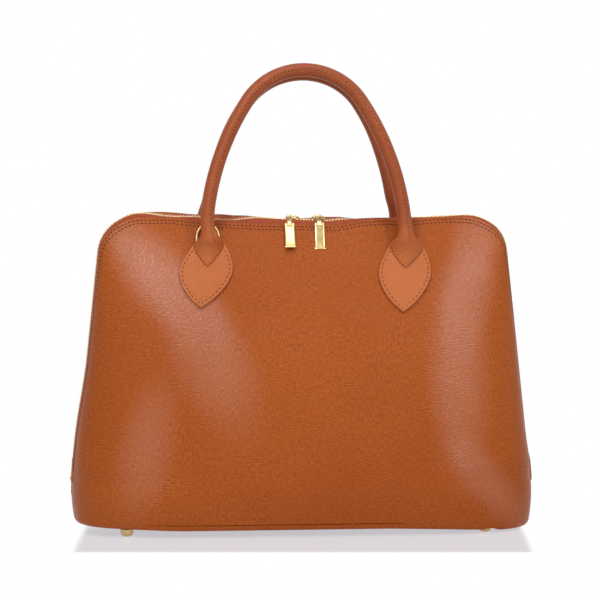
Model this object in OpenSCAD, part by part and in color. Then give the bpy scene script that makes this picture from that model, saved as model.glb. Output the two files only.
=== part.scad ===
// Zip-top leather handbag: two moulded leather halves on a stiff base, a zip that runs
// over the top and down both sides, and a pair of rolled handles.
// X runs along the bag, Y from front to back, Z up. The origin is on the ground under the middle.

/* [Body] */
// Half width of the bag at the lower end of the zip
side_low_x = 192.6; // [170:0.1:215]
// Half width where the line of a side would meet the line of the top
side_top_x = 170.4; // [150:0.1:190]
// Height of the middle of the zip over the ground
zip_z = 265.5; // [245:0.5:300]
// Radius of the zip's line at the top corners
corner_r = 33; // [25:1:45]
// Half depth of the bag at its fullest
belly_y = 64; // [56:1:76]
// Height at which the bag is at its fullest
belly_z = 45; // [38:1:56]
// Thickness of the body leather
leather_t = 2.2; // [1.6:0.1:2.8]
// Thickness of the lining
lining_t = 0.8; // [0.5:0.1:1.4]

/* [Base] */
// Height of the metal feet
foot_h = 6; // [4:0.5:9]
// Thickness of the base leather
base_t = 3.6; // [2.4:0.1:5]
// Thickness of the stiff board in the base
board_t = 2; // [1.2:0.1:3]
// Distance of the feet from the middle along the bag
foot_x = 151; // [120:1:165]
// Distance of the feet from the middle across the bag
foot_y = 40; // [28:1:45]
// Radius of a foot
foot_r = 5.6; // [4:0.1:8]
// Radius of the shank of a foot
shank_r = 1.5; // [1.2:0.1:2]

/* [Zip] */
// Distance from one tooth to the next on one side of the zip
tooth_pitch = 2.5; // [2:0.1:4]
// Width of a tooth along the zip
tooth_w = 1.15; // [0.8:0.05:1.6]
// Length of a tooth across the zip
tooth_l = 1.9; // [1.5:0.1:2.4]
// Height of a tooth
tooth_h = 1.8; // [1.4:0.1:2.4]
// Width of the slot that is left between the two rows of teeth
zip_slot = 1.4; // [1.2:0.1:1.8]
// Thickness of the zip tape
tape_t = 0.6; // [0.4:0.1:0.9]
// Height of the lower end of the zip over the ground
zip_end_z = 58; // [50:1:75]
// Distance of the leather edges from the middle of the zip
edge_y = 9; // [8:0.1:11]
// Drop of the leather edges below the zip along the top
edge_drop = 3; // [2.5:0.1:5]

/* [Sliders] */
// Length of a slider along the zip
slider_l = 13; // [11:0.5:16]
// Width of the narrow end of a slider
slider_w = 6.8; // [6.6:0.1:8]
// Place of the left slider along the zip
left_slider_x = -8.3; // [-20:0.1:-7.8]
// Place of the right slider along the zip
right_slider_x = 14.6; // [10:0.1:24]
// Width of a pull
pull_w = 9; // [8:0.1:12]
// Length of a pull
pull_l = 24; // [18:0.5:24]
// Thickness of a pull
pull_t = 1.6; // [1.4:0.1:2]

/* [Handles] */
// Half of the distance between the legs of a handle
handle_x = 84; // [70:0.5:95]
// Height of the top of the handle's middle line over its hinge line
handle_h = 147.7; // [120:0.1:180]
// Radius of the handle's arch at the top
arch_r = 57; // [42:1:64]
// Radius of the rolled handle
handle_r = 5.9; // [5.2:0.1:7.5]
// Thickness of the leather on the handle
grip_t = 1.5; // [1:0.1:2.2]
// Distance of the hinge line below the middle of the zip
hinge_drop = 22.5; // [21:0.5:30]
// Full width of a leaf-shaped tab
tab_w = 44; // [34:1:54]
// Length of a tab from its neck to its tip
tab_l = 52; // [42:1:64]
// Thickness of a tab
tab_t = 2.4; // [1.8:0.1:3]

/* [Strap rings] */
// Outer width of a strap ring
ring_w = 20; // [17:0.5:24]
// Length of the straight sides of a strap ring
ring_leg = 3.5; // [2:0.5:6]
// Radius of the ring's wire
ring_wire_r = 1; // [0.8:0.1:1.2]

/* [Hidden] */

tan_leather = [0.72, 0.38, 0.18];
dark_leather = [0.64, 0.31, 0.14];
lining_colour = [0.66, 0.52, 0.36];
tape_colour = [0.60, 0.27, 0.12];
gold = [0.86, 0.70, 0.36];
board_colour = [0.45, 0.38, 0.30];

clearance = 0.3;
pin_clearance = 0.08;
cut_over = 1;

base_low_z = foot_h;
base_top_z = base_low_z + base_t;
panel_low_z = base_top_z + clearance;

// Outline of the bag seen from the front: a leaning side, a round corner and a level top.
// The top and the sides can be let in by different amounts.
side_slope = (side_low_x - side_top_x) / (zip_z - zip_end_z);
side_tilt = atan(side_slope);
round_x = side_top_x + side_slope * corner_r - corner_r / cos(side_tilt);
round_z = zip_z - corner_r;
corner_rows = 8;

function side_x(z, side_inset) = side_top_x + side_slope * (zip_z - z) - side_inset;
function corner_point(i, top_inset, side_inset) =
    let (a = side_tilt + (90 - side_tilt) * i / corner_rows)
    [round_x + (corner_r - side_inset) * cos(a), round_z + (corner_r - top_inset) * sin(a)];
function half_outline(top_inset, side_inset, z_low, rows) =
    let (join_z = corner_point(0, top_inset, side_inset)[1])
    concat(
        [for (i = [0 : rows - 1]) let (z = z_low + (join_z - z_low) * i / rows) [side_x(z, side_inset), z]],
        [for (i = [0 : corner_rows]) corner_point(i, top_inset, side_inset)]);
function whole_outline(top_inset, side_inset, z_low, rows) =
    let (right = half_outline(top_inset, side_inset, z_low, rows), last = len(right) - 1)
    concat([for (p = right) [-p[0], p[1]]], [for (i = [last : -1 : 0]) right[i]]);

// Shape of a moulded half. Its edge follows the zip, and its face swells out to the belly.
side_in = 0.6;
rim_share = 1.8;
low_roll_x = 5;
low_roll_y = 6;
fall_power = 2.4;
mid_square = 3;
end_square = 3;
plan_power_share = 0.45;
seam_gap = 0.25;
wing_drop = 14;
wing_low_z = zip_end_z - wing_drop;

function smooth_share(t) = let (u = max(0, min(1, t))) u * u * (3 - 2 * u);
// Distance of a half's edge from the middle plane: open round the zip, closed below it.
function wing_y(z) = seam_gap + (edge_y - seam_gap) * smooth_share((z - wing_low_z) / wing_drop);
function low_share(z) = max(0, (belly_z - z) / (belly_z - panel_low_z));
function top_z(inset) = zip_z - edge_drop - rim_share * inset;
// Depth of the face over the middle of the bag, let in from the outside.
function belly(z, inset) =
    let (u = max(0, min(1, (z - belly_z) / (top_z(inset) - belly_z))))
    z <= belly_z ? belly_y - inset - low_roll_y * pow(low_share(z), 2)
        : edge_y + (belly_y - inset - edge_y) * (1 - pow(u, fall_power));
// Half width of the face at a height.
function face_x(z, inset) =
    let (r_x = corner_r - side_in - inset, r_z = top_z(inset) - round_z)
    z < round_z + r_z * sin(side_tilt) ? side_x(z, side_in + inset) - low_roll_x * pow(low_share(z), 2)
        : round_x + r_x * sqrt(max(0, 1 - pow((z - round_z) / r_z, 2)));
// The plan is square at the base and along the top, and rounder half way up.
function squareness(z) = mid_square + end_square * pow(2 * (z - panel_low_z) / (zip_z - panel_low_z) - 1, 2);
function face_y(x, z, inset = 0) =
    let (s = min(1, abs(x) / face_x(z, inset)), w = wing_y(z))
    -(w + (belly(z, inset) - w) * pow(1 - pow(s, squareness(z)), plan_power_share));
// Lean of the face from upright between two heights over the middle.
function face_lean(z_low, z_high) = atan((belly(z_low, 0) - belly(z_high, 0)) / (z_high - z_low));

function face_heights(inset, low_rows, wall_rows) =
    let (r_z = top_z(inset) - round_z, join_z = round_z + r_z * sin(side_tilt))
    concat(
        [for (i = [0 : low_rows - 1]) panel_low_z + (belly_z - panel_low_z) * i / low_rows],
        [for (i = [0 : wall_rows - 1]) belly_z + (join_z - belly_z) * i / wall_rows],
        [for (i = [0 : corner_rows]) round_z + r_z * sin(side_tilt + (90 - side_tilt) * i / corner_rows)]);
// One level of the face, from the left edge round the front to the right edge.
function face_row(z, inset, columns) =
    [for (c = [0 : columns])
        let (s = sin(-90 + 180 * c / columns),
             x = face_x(z, inset) * sign(s) * pow(abs(s), 2 / squareness(z) + plan_power_share / 2))
        [x, face_y(x, z, inset), z]];
function face_grid(inset, low_rows, wall_rows, columns) =
    [for (z = face_heights(inset, low_rows, wall_rows)) face_row(z, inset, columns)];

// Triangles over a grid of points. Where the columns are closed, the last one joins the first.
function grid_skin(rows, columns, first, closed, flip) =
    [for (r = [0 : rows - 2], c = [0 : columns - (closed ? 1 : 2)])
        let (p = first + r * columns + c, q = first + r * columns + (c + 1) % columns,
             above_p = p + columns, above_q = q + columns)
        each flip ? [[p, q, above_q], [p, above_q, above_p]] : [[p, above_q, q], [p, above_p, above_q]]];
// Triangles that join one row of two grids, from point a of the outer one and b of the inner one.
function row_strip(columns, a, b, closed, flip) =
    [for (c = [0 : columns - (closed ? 1 : 2)]) let (d = (c + 1) % columns)
        each flip ? [[a + c, b + d, a + d], [a + c, b + c, b + d]] : [[a + d, b + c, a + c], [a + d, b + d, b + c]]];

// A closed solid between two grids of points, one on each side of a sheet, or inside and outside a pipe.
module sheet_solid(outer, inner, closed = false) {
    rows = len(outer);
    columns = len(outer[0]);
    count = rows * columns;
    last = count - columns;
    right = columns - 1;
    side_strips = closed ? [] : [for (r = [0 : rows - 2]) let (a = r * columns, b = a + columns) each [
        [a, count + b, b], [a, count + a, count + b],
        [b + right, count + a + right, a + right], [b + right, count + b + right, count + a + right]]];
    polyhedron(convexity = 6, points = concat([for (row = outer) each row], [for (row = inner) each row]),
        faces = concat(
            grid_skin(rows, columns, 0, closed, false), grid_skin(rows, columns, count, closed, true),
            row_strip(columns, 0, count, closed, false), row_strip(columns, last, count + last, closed, true),
            side_strips));
}
// A solid rod through a list of rings.
module rod_solid(rings) {
    rows = len(rings);
    columns = len(rings[0]);
    polyhedron(convexity = 6, points = [for (ring = rings) each ring],
        faces = concat(grid_skin(rows, columns, 0, true, false),
            [[for (c = [0 : columns - 1]) c], [for (c = [columns - 1 : -1 : 0]) (rows - 1) * columns + c]]));
}

// Body panels and linings
panel_cells = [6, 14, 32];
lining_cells = [4, 8, 20];
module half_panel() {
    color(tan_leather) sheet_solid(
        face_grid(0, panel_cells[0], panel_cells[1], panel_cells[2]),
        face_grid(leather_t, panel_cells[0], panel_cells[1], panel_cells[2]));
}

lining_in = leather_t + tape_t + 2 * clearance;
module half_lining() {
    color(lining_colour)
        sheet_solid(face_grid(lining_in, lining_cells[0], lining_cells[1], lining_cells[2]),
            face_grid(lining_in + lining_t, lining_cells[0], lining_cells[1], lining_cells[2]));
}

// Base, board and feet
washer_r = 4;
washer_t = 1;
shank_gap = 0.1;
foot_lip_t = 1;
foot_flat_r = 2.5;

function whole_plan(inset) =
    let (front = face_row(panel_low_z, inset, 32))
    concat([for (p = front) [p[0], p[1]]], [for (p = front) [-p[0], -p[1]]]);

module base_layer(z_low, thickness, inset) {
    difference() {
        translate([0, 0, z_low]) linear_extrude(thickness) polygon(whole_plan(inset));
        for (x = [-foot_x, foot_x], y = [-foot_y, foot_y])
            translate([x, y, z_low - cut_over])
                cylinder(h = thickness + 2 * cut_over, r = shank_r + shank_gap, $fn = 32);
    }
}
board_in = lining_in + lining_t + 2 * clearance;
board_top_z = base_top_z + board_t;
shank_top_z = board_top_z + washer_t;
module base_panel() { color(tan_leather) base_layer(base_low_z, base_t, 0); }
module base_board() { color(board_colour) base_layer(base_top_z, board_t, board_in); }
module base_lining() {
    color(lining_colour) difference() {
        base_layer(board_top_z, lining_t, board_in);
        for (x = [-foot_x, foot_x], y = [-foot_y, foot_y])
            translate([x, y, board_top_z - cut_over])
                cylinder(h = lining_t + 2 * cut_over, r = washer_r + clearance, $fn = 48);
    }
}
module foot(x, y) {
    color(gold) translate([x, y, 0]) {
        rotate_extrude($fn = 64) polygon(concat(
            [[0, 0]],
            [for (a = [0 : 15 : 90])
                [foot_flat_r + (foot_r - foot_flat_r) * sin(a), (foot_h - foot_lip_t) * (1 - cos(a))]],
            [[foot_r, foot_h], [0, foot_h]]));
        cylinder(h = shank_top_z, r = shank_r, $fn = 32);
    }
}
module foot_washers() {
    color(gold) for (x = [-foot_x, foot_x], y = [-foot_y, foot_y])
        translate([x, y, board_top_z]) difference() {
            cylinder(h = washer_t, r = washer_r, $fn = 48);
            translate([0, 0, -cut_over])
                cylinder(h = washer_t + 2 * cut_over, r = shank_r + shank_gap, $fn = 32);
        }
}

// Zip tape and teeth
tooth_y = zip_slot / 2 + tooth_l;
tape_low_z = zip_end_z + 1;
tape_top_in = edge_drop + rim_share * leather_t + clearance;
tape_side_in = side_in + leather_t + clearance;

function tape_row(y, top_inset, side_inset) =
    [for (p = whole_outline(top_inset, side_inset, tape_low_z, 8)) [p[0], y, p[1]]];
module half_zip_tape() {
    color(tape_colour) sheet_solid(
        [tape_row(-edge_y, tape_top_in, tape_side_in), tape_row(-tooth_y, -tape_t / 2, -tape_t / 2)],
        [tape_row(-edge_y, tape_top_in + tape_t, tape_side_in + tape_t),
         tape_row(-tooth_y, tape_t / 2, tape_t / 2)]);
}

// Place on the zip's line at a distance from the middle of the top, as [x, z, turn].
zip_corner_l = corner_r * (90 - side_tilt) * PI / 180;
end_tab_over = 4;
teeth_low_z = zip_end_z + end_tab_over + 2 * clearance;
zip_side_l = (corner_point(0, 0, 0)[1] - teeth_low_z) / cos(side_tilt);
function zip_place(s) =
    let (d = abs(s), a = (d - round_x) / corner_r * 180 / PI, down = d - round_x - zip_corner_l,
         right = d < round_x ? [d, zip_z, 0]
            : down < 0 ? [round_x + corner_r * sin(a), round_z + corner_r * cos(a), a]
            : [corner_point(0, 0, 0)[0] + down * sin(side_tilt),
               corner_point(0, 0, 0)[1] - down * cos(side_tilt), 90 - side_tilt])
    [sign(s) * right[0], right[1], sign(s) * right[2]];
teeth_each_side = floor((round_x + zip_corner_l + zip_side_l) / tooth_pitch) - 1;

module half_zip_teeth(shift) {
    color(gold) for (i = [-teeth_each_side : teeth_each_side])
        let (place = zip_place((i + shift) * tooth_pitch))
        translate([place[0], -tooth_y + tooth_l / 2, place[1]]) rotate([0, place[2], 0])
            cube([tooth_w, tooth_l, tooth_h], center = true);
}

// Leather tab over each lower end of the zip. It is sewn to the front half and only covers the back one.
end_tab_t = 1.8;
end_tab_w = 24;
end_tab_free = 2.1;
end_tab_rows = 8;
function side_face_x(y, z) =
    let (w = wing_y(z), t = max(0, (abs(y) - w) / (belly(z, 0) - w)))
    face_x(z, 0) * pow(1 - pow(t, 1 / plan_power_share), 1 / squareness(z));
function end_tab_row(z, out) =
    [for (c = [0 : end_tab_rows]) let (y = end_tab_w * (c / end_tab_rows - 1 / 2),
        gap = clearance + (end_tab_free - clearance) * smooth_share(y / edge_y + 1 / 2))
        [side_face_x(y, z) + gap + out, y, z]];
function end_tab_heights() =
    let (z_low = wing_low_z - end_tab_over, z_high = zip_end_z + end_tab_over)
    [for (i = [0 : end_tab_rows]) z_low + (z_high - z_low) * i / end_tab_rows];
module zip_end_tab() {
    color(dark_leather) sheet_solid(
        [for (z = end_tab_heights()) end_tab_row(z, end_tab_t)], [for (z = end_tab_heights()) end_tab_row(z, 0)]);
}

// Slider, its crown, the link and the pull
plate_t = 1;
lift_room = 0.75;
channel_h = tooth_h / 2 + lift_room;
slider_top = channel_h + plate_t;
nose_spread = 0.4;
flange_w = 0.6;
flange_room = 0.2;
tape_room = 0.7;
post_w = 0.9;
post_l = 2.4;
bar_r = 0.7;
barrel_r = 1.4;
link_w = 5;
link_t = 1;
elbow_r = 0.65;
crown_post_t = 1.2;
crown_post_w = 2;
crown_z = slider_top + barrel_r + clearance;
elbow_out = 2.5;
elbow_drop = 0.5;
pull_drop = 5.5;
pull_z = zip_z - pull_drop;
pull_low_z = pull_z - pull_l * cos(face_lean(pull_z - pull_l, pull_z));
pull_lean = face_lean(pull_low_z, pull_z);
pull_gap = 0.1;
pull_y = -belly(pull_z, 0) - (barrel_r + clearance + pull_gap) / cos(pull_lean);

module slider_plan(spread) {
    polygon([[-slider_l / 2, -slider_w / 2], [slider_l / 2 - post_l, -slider_w / 2 - spread],
        [slider_l / 2, -slider_w / 4], [slider_l / 2, slider_w / 4],
        [slider_l / 2 - post_l, slider_w / 2 + spread], [-slider_l / 2, slider_w / 2]]);
}
// The nose points to +X. The back is open, so the far row of teeth can leave when the bag opens.
module slider_body() {
    color(gold) {
        translate([0, 0, channel_h]) linear_extrude(plate_t) slider_plan(nose_spread);
        translate([0, 0, -slider_top]) linear_extrude(plate_t) slider_plan(0);
        translate([slider_l / 2 - post_l, -post_w / 2, -channel_h - plate_t / 2])
            cube([post_l - plate_t / 2, post_w, 2 * channel_h + plate_t]);
        translate([-slider_l / 2, -tooth_y - flange_room - flange_w, tape_room])
            cube([slider_l - post_l, flange_w, channel_h + plate_t / 2 - tape_room]);
        for (side = [-1, 1])
            translate([side * (link_w / 2 + clearance + crown_post_t / 2) - crown_post_t / 2,
                       -crown_post_w / 2, slider_top - plate_t / 2])
                cube([crown_post_t, crown_post_w, crown_z + bar_r - slider_top + plate_t / 2]);
        translate([-link_w / 2 - clearance - crown_post_t / 2, 0, crown_z]) rotate([0, 90, 0])
            cylinder(h = link_w + 2 * clearance + crown_post_t, r = bar_r, $fn = 32);
    }
}
elbow_y = -slider_w / 2 - elbow_out;
elbow_z = crown_z - elbow_drop;
// The link and the pull are drawn in the slider's own place, with its middle at the origin.
module strap_between(from_y, from_z, to_y, to_z) {
    length = norm([to_y - from_y, to_z - from_z]);
    translate([-link_w / 2, from_y, from_z]) rotate([atan2(to_z - from_z, to_y - from_y), 0, 0])
        translate([0, 0, -link_t / 2]) cube([link_w, length, link_t]);
}
module cross_rod(y, z, r, length) {
    translate([-length / 2, y, z]) rotate([0, 90, 0]) cylinder(h = length, r = r, $fn = 48);
}
module slider_link() {
    low_y = pull_y;
    low_z = pull_z - zip_z;
    color(gold) difference() {
        union() {
            cross_rod(0, crown_z, barrel_r, link_w);
            strap_between(0, crown_z, elbow_y, elbow_z);
            cross_rod(elbow_y, elbow_z, elbow_r, link_w);
            strap_between(elbow_y, elbow_z, low_y, low_z);
            cross_rod(low_y, low_z, barrel_r, link_w);
        }
        cross_rod(0, crown_z, bar_r + pin_clearance, link_w + 2 * cut_over);
        cross_rod(low_y, low_z, bar_r + pin_clearance, link_w + 2 * cut_over);
    }
}
pull_head = 1.6;
notch_l = 2.4;
lip_h = 1.6;
lip_out = 0.6;
module slider_pull() {
    color(gold) translate([0, pull_y, pull_z - zip_z]) rotate([-pull_lean, 0, 0]) {
        difference() {
            translate([-pull_w / 2, -pull_t / 2, -pull_l + pull_head]) cube([pull_w, pull_t, pull_l]);
            translate([-link_w / 2 - clearance, -pull_t / 2 - cut_over, -notch_l])
                cube([link_w + 2 * clearance, pull_t + 2 * cut_over, notch_l + pull_head + cut_over]);
        }
        cross_rod(0, 0, bar_r, link_w + 4 * clearance);
        translate([-pull_w / 2 - lip_out, -pull_t / 2 - lip_out, -pull_l + pull_head])
            cube([pull_w + 2 * lip_out, pull_t + lip_out, lip_h]);
    }
}
module at_left_slider() { translate([left_slider_x, 0, zip_z]) children(); }
module at_right_slider() { translate([right_slider_x, 0, zip_z]) children(); }

// Handles
hinge_z = zip_z - hinge_drop;
neck_drop = 4.5;
tab_top_z = hinge_z - neck_drop;
handle_off = 6.2;
hinge_y = -belly(hinge_z, 0) - handle_r - handle_off;
handle_gap = 1.5;
handle_top_y = -handle_r - handle_gap;
handle_lean = asin((handle_top_y - hinge_y) / handle_h);
core_r = handle_r - grip_t - clearance / 3;
// The arch is a small circle on top and a large one on each side that meets it smoothly.
side_arc_r = (handle_x * handle_x + handle_h * handle_h - 2 * handle_h * arch_r) / (2 * (handle_x - arch_r));
side_arc_x = handle_x - side_arc_r;
arc_join = atan((handle_h - arch_r) / -side_arc_x);
side_steps = 8;
top_steps = 14;
grip_sides = 16;
core_sides = 10;
end_turns = [80, 55, 30];

// Steps along the arch from the left leg to the right one, as [middle x, middle z, radius, angle].
arch_steps = concat(
    [for (i = [0 : side_steps - 1]) [-side_arc_x, 0, side_arc_r, 180 - arc_join * i / side_steps]],
    [for (i = [0 : top_steps]) [0, handle_h - arch_r, arch_r, 180 - arc_join - (180 - 2 * arc_join) * i / top_steps]],
    [for (i = [1 : side_steps]) [side_arc_x, 0, side_arc_r, arc_join * (1 - i / side_steps)]]);
// A ring of points round a step of the arch, moved on along the arch by a shift.
function arch_ring(step, r, sides, shift = 0) =
    [for (i = [0 : sides - 1]) let (turn = 360 * i / sides, reach = step[2] + r * sin(turn), a = step[3])
        [step[0] + reach * cos(a) + shift * sin(a), r * cos(turn), step[1] + reach * sin(a) - shift * cos(a)]];
function arch_rings(r, sides) = [for (step = arch_steps) arch_ring(step, r, sides)];
function round_end(step, r, sides, turns, way) =
    [for (turn = turns) arch_ring(step, r * cos(turn), sides, way * r * sin(turn))];

module handle_place() { translate([0, hinge_y, hinge_z]) rotate([-handle_lean, 0, 0]) children(); }
module handle_grip() {
    color(tan_leather) handle_place()
        sheet_solid(arch_rings(handle_r, grip_sides), arch_rings(handle_r - grip_t, grip_sides), true);
}
module handle_core() {
    last = len(arch_steps) - 1;
    color(lining_colour) handle_place() rod_solid(concat(
        round_end(arch_steps[0], core_r, core_sides, end_turns, -1), arch_rings(core_r, core_sides),
        round_end(arch_steps[last], core_r, core_sides, [for (i = [2 : -1 : 0]) end_turns[i]], 1)));
}

// Leaf-shaped tab that holds the end of a handle. Each step is [share of the length, share of the width].
leaf_shares = [[0, 0.06], [0.08, 0.26], [0.17, 0.45], [0.27, 0.63], [0.38, 0.80], [0.49, 0.93], [0.60, 1],
    [0.70, 0.99], [0.79, 0.90], [0.87, 0.76], [0.94, 0.58], [1, 0.40]];
leaf_columns = 8;
neck_l = 14;
keeper_t = 1;
keeper_rise = 1.5;
keeper_tail = 12;
keeper_z = hinge_z + keeper_rise;
keeper_foot_z = keeper_z - keeper_tail - clearance;
function tab_gap(z) =
    clearance + (keeper_t + clearance) * smooth_share((z - keeper_foot_z) / neck_l + 1);
function leaf_grid(x_mid, out) =
    [for (step = leaf_shares) let (z = tab_top_z - tab_l * (1 - step[0]))
        [for (c = [0 : leaf_columns]) let (x = x_mid + tab_w / 2 * step[1] * (2 * c / leaf_columns - 1))
            [x, face_y(x, z) - tab_gap(z) - out, z]]];
cradle_r = handle_r + clearance;
cradle_low = 193;
cradle_high = 246;
module handle_tab(x_mid) {
    reach = 2 * cradle_r;
    color(tan_leather) {
        sheet_solid(leaf_grid(x_mid, tab_t), leaf_grid(x_mid, 0));
        translate([x_mid, hinge_y, hinge_z]) intersection() {
            difference() {
                sphere(r = cradle_r + tab_t, $fn = 48);
                sphere(r = cradle_r, $fn = 48);
            }
            rotate([90, 0, 90]) translate([0, 0, -reach]) linear_extrude(2 * reach)
                polygon([[0, 0], for (a = [cradle_low, cradle_high]) reach * [-sin(a), cos(a)]]);
        }
    }
}

// Strap rings and their keepers
keeper_w = 10;
ring_arch_r = ring_w / 2 - ring_wire_r;
keeper_r = ring_wire_r + pin_clearance + keeper_t;
ring_lean = face_lean(keeper_z, keeper_z + ring_leg + ring_arch_r);
keeper_y = face_y(handle_x, keeper_z) - (keeper_r + clearance) / cos(ring_lean);
keeper_rows = 6;
function keeper_grid(out) =
    [for (i = [0 : keeper_rows]) let (z = keeper_z - keeper_tail * (1 - i / keeper_rows))
        [for (c = [-1, 1]) let (x = -handle_x + c * keeper_w / 2) [x, face_y(x, z) - clearance - out, z]]];
module ring_keeper() {
    color(dark_leather) difference() {
        union() {
            sheet_solid(keeper_grid(keeper_t), keeper_grid(0));
            translate([-handle_x, 0, 0]) cross_rod(keeper_y, keeper_z, keeper_r, keeper_w);
        }
        translate([-handle_x, 0, 0])
            cross_rod(keeper_y, keeper_z, ring_wire_r + pin_clearance, keeper_w + 2 * cut_over);
    }
}
module strap_ring() {
    color(gold) translate([-handle_x, keeper_y, keeper_z]) rotate([-ring_lean, 0, 0]) {
        cross_rod(0, 0, ring_wire_r, 2 * ring_arch_r);
        for (x = [-ring_arch_r, ring_arch_r]) translate([x, 0, 0]) {
            sphere(r = ring_wire_r, $fn = 32);
            cylinder(h = ring_leg, r = ring_wire_r, $fn = 32);
        }
        translate([0, 0, ring_leg]) rotate([90, 0, 0])
            rotate_extrude(angle = 180, $fn = 64) translate([ring_arch_r, 0]) circle(r = ring_wire_r, $fn = 32);
    }
}

// The back half is the front half turned about the upright.
module at_back() { rotate([0, 0, 180]) children(); }

base_panel();
base_board();
base_lining();
foot(-foot_x, -foot_y);  // foot_front_left
foot(foot_x, -foot_y);  // foot_front_right
foot(-foot_x, foot_y);  // foot_back_left
foot(foot_x, foot_y);  // foot_back_right
foot_washers();
mirror([1, 0, 0]) zip_end_tab();  // left_zip_end_tab
zip_end_tab();  // right_zip_end_tab
half_panel();  // front_panel
half_lining();  // front_lining
half_zip_tape();  // front_zip_tape
half_zip_teeth(0);  // front_zip_teeth
handle_tab(-handle_x);  // front_left_handle_tab
handle_tab(handle_x);  // front_right_handle_tab
ring_keeper();  // front_ring_keeper
handle_grip();  // front_handle_grip
handle_core();  // front_handle_core
strap_ring();  // front_strap_ring
at_left_slider() slider_body();  // left_slider
at_left_slider() slider_link();  // left_slider_link
at_left_slider() slider_pull();  // left_pull
at_right_slider() mirror([1, 0, 0]) slider_body();  // right_slider
at_right_slider() slider_link();  // right_slider_link
at_right_slider() slider_pull();  // right_pull
at_back() half_panel();  // back_panel
at_back() half_lining();  // back_lining
at_back() half_zip_tape();  // back_zip_tape
at_back() half_zip_teeth(1 / 2);  // back_zip_teeth
at_back() handle_tab(handle_x);  // back_left_handle_tab
at_back() handle_tab(-handle_x);  // back_right_handle_tab
at_back() ring_keeper();  // back_ring_keeper
at_back() handle_grip();  // back_handle_grip
at_back() handle_core();  // back_handle_core
at_back() strap_ring();  // back_strap_ring
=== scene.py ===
import math

import bmesh
import bpy
import numpy as np
from mathutils import Matrix, Vector


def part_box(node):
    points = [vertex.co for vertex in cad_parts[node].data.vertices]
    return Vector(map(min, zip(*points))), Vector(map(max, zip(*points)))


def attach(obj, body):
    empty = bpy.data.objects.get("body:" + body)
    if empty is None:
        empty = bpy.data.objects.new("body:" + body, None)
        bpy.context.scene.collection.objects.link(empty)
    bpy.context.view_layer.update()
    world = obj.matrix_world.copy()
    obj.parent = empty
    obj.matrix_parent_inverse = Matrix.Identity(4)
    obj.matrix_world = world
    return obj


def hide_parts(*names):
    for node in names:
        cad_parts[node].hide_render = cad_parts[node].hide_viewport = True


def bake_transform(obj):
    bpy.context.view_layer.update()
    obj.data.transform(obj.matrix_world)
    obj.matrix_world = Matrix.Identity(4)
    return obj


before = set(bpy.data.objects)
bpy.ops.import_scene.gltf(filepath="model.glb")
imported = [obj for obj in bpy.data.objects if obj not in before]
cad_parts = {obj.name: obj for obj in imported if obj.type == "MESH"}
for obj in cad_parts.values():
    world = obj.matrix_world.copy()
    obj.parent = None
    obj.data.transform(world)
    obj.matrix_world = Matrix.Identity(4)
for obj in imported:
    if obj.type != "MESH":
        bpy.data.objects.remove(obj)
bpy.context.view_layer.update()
mm = 0.001

# The camera comes first: a little to the left of the bag's middle and just above it.
camera = {"azimuth": -4.5, "elevation": 5.0, "distance": 2.2, "aim": (-0.0027, 0.0, 0.1938), "lens": 155.3}


def makeCamera():
    turn, rise = math.radians(camera["azimuth"]), math.radians(camera["elevation"])
    away = Vector((math.sin(turn) * math.cos(rise), -math.cos(turn) * math.cos(rise), math.sin(rise)))
    bpy.ops.object.camera_add(location=Vector(camera["aim"]) + away * camera["distance"])
    eye = bpy.context.object
    eye.name = "photoCamera"
    eye.rotation_euler = (-away).to_track_quat("-Z", "Y").to_euler()
    eye.data.lens = camera["lens"]
    eye.data.sensor_width = 36
    eye.data.clip_end = 20
    bpy.context.scene.camera = eye


makeCamera()
print("camera set")

# Measures of the bag, in metres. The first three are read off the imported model.
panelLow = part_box("front_panel")[0]
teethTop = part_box("front_zip_teeth")[1][2]
bag = {
    "bellyY": -panelLow[1], "panelLowZ": panelLow[2], "zipZ": teethTop - 0.9 * mm,
    "sideLowX": 192.6 * mm, "sideTopX": 170.4 * mm, "zipEndZ": 58 * mm, "cornerR": 33 * mm,
    "bellyZ": 45 * mm, "edgeDrop": 3 * mm, "edgeY": 9 * mm, "sideIn": 0.6 * mm, "rimShare": 1.8,
    "lowRollX": 5 * mm, "lowRollY": 6 * mm, "fallPower": 2.4, "midSquare": 3, "endSquare": 3,
    "planPower": 0.45, "seamGap": 0.25 * mm, "wingDrop": 14 * mm, "leatherT": 2.2 * mm,
    "hingeY": 32.2 * mm, "hingeZ": 243 * mm, "footX": 151 * mm, "footY": 40 * mm}
sideSlope = (bag["sideLowX"] - bag["sideTopX"]) / (bag["zipZ"] - bag["zipEndZ"])
sideTilt = math.atan(sideSlope)
roundX = bag["sideTopX"] + sideSlope * bag["cornerR"] - bag["cornerR"] / math.cos(sideTilt)
roundZ = bag["zipZ"] - bag["cornerR"]


def smooth(t):
    t = max(0.0, min(1.0, t))
    return t * t * (3 - 2 * t)


# How the soft leather sits: the zip dips between its corners, the edges dip more between the handles.
sag = {"zipRise": 5.2 * mm, "zipDip": 2.5 * mm, "zipSpan": 0.15, "edgeDip": 1.9 * mm, "edgeLift": 1.3 * mm,
       "dipFrom": 0.118, "dipTo": 0.05, "waveY": 0.55 * mm, "waveZ": 0.4 * mm,
       "cornerFade": 0.03, "topFade": 0.045, "looseFrom": 0.030, "looseTo": 0.008}
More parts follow.
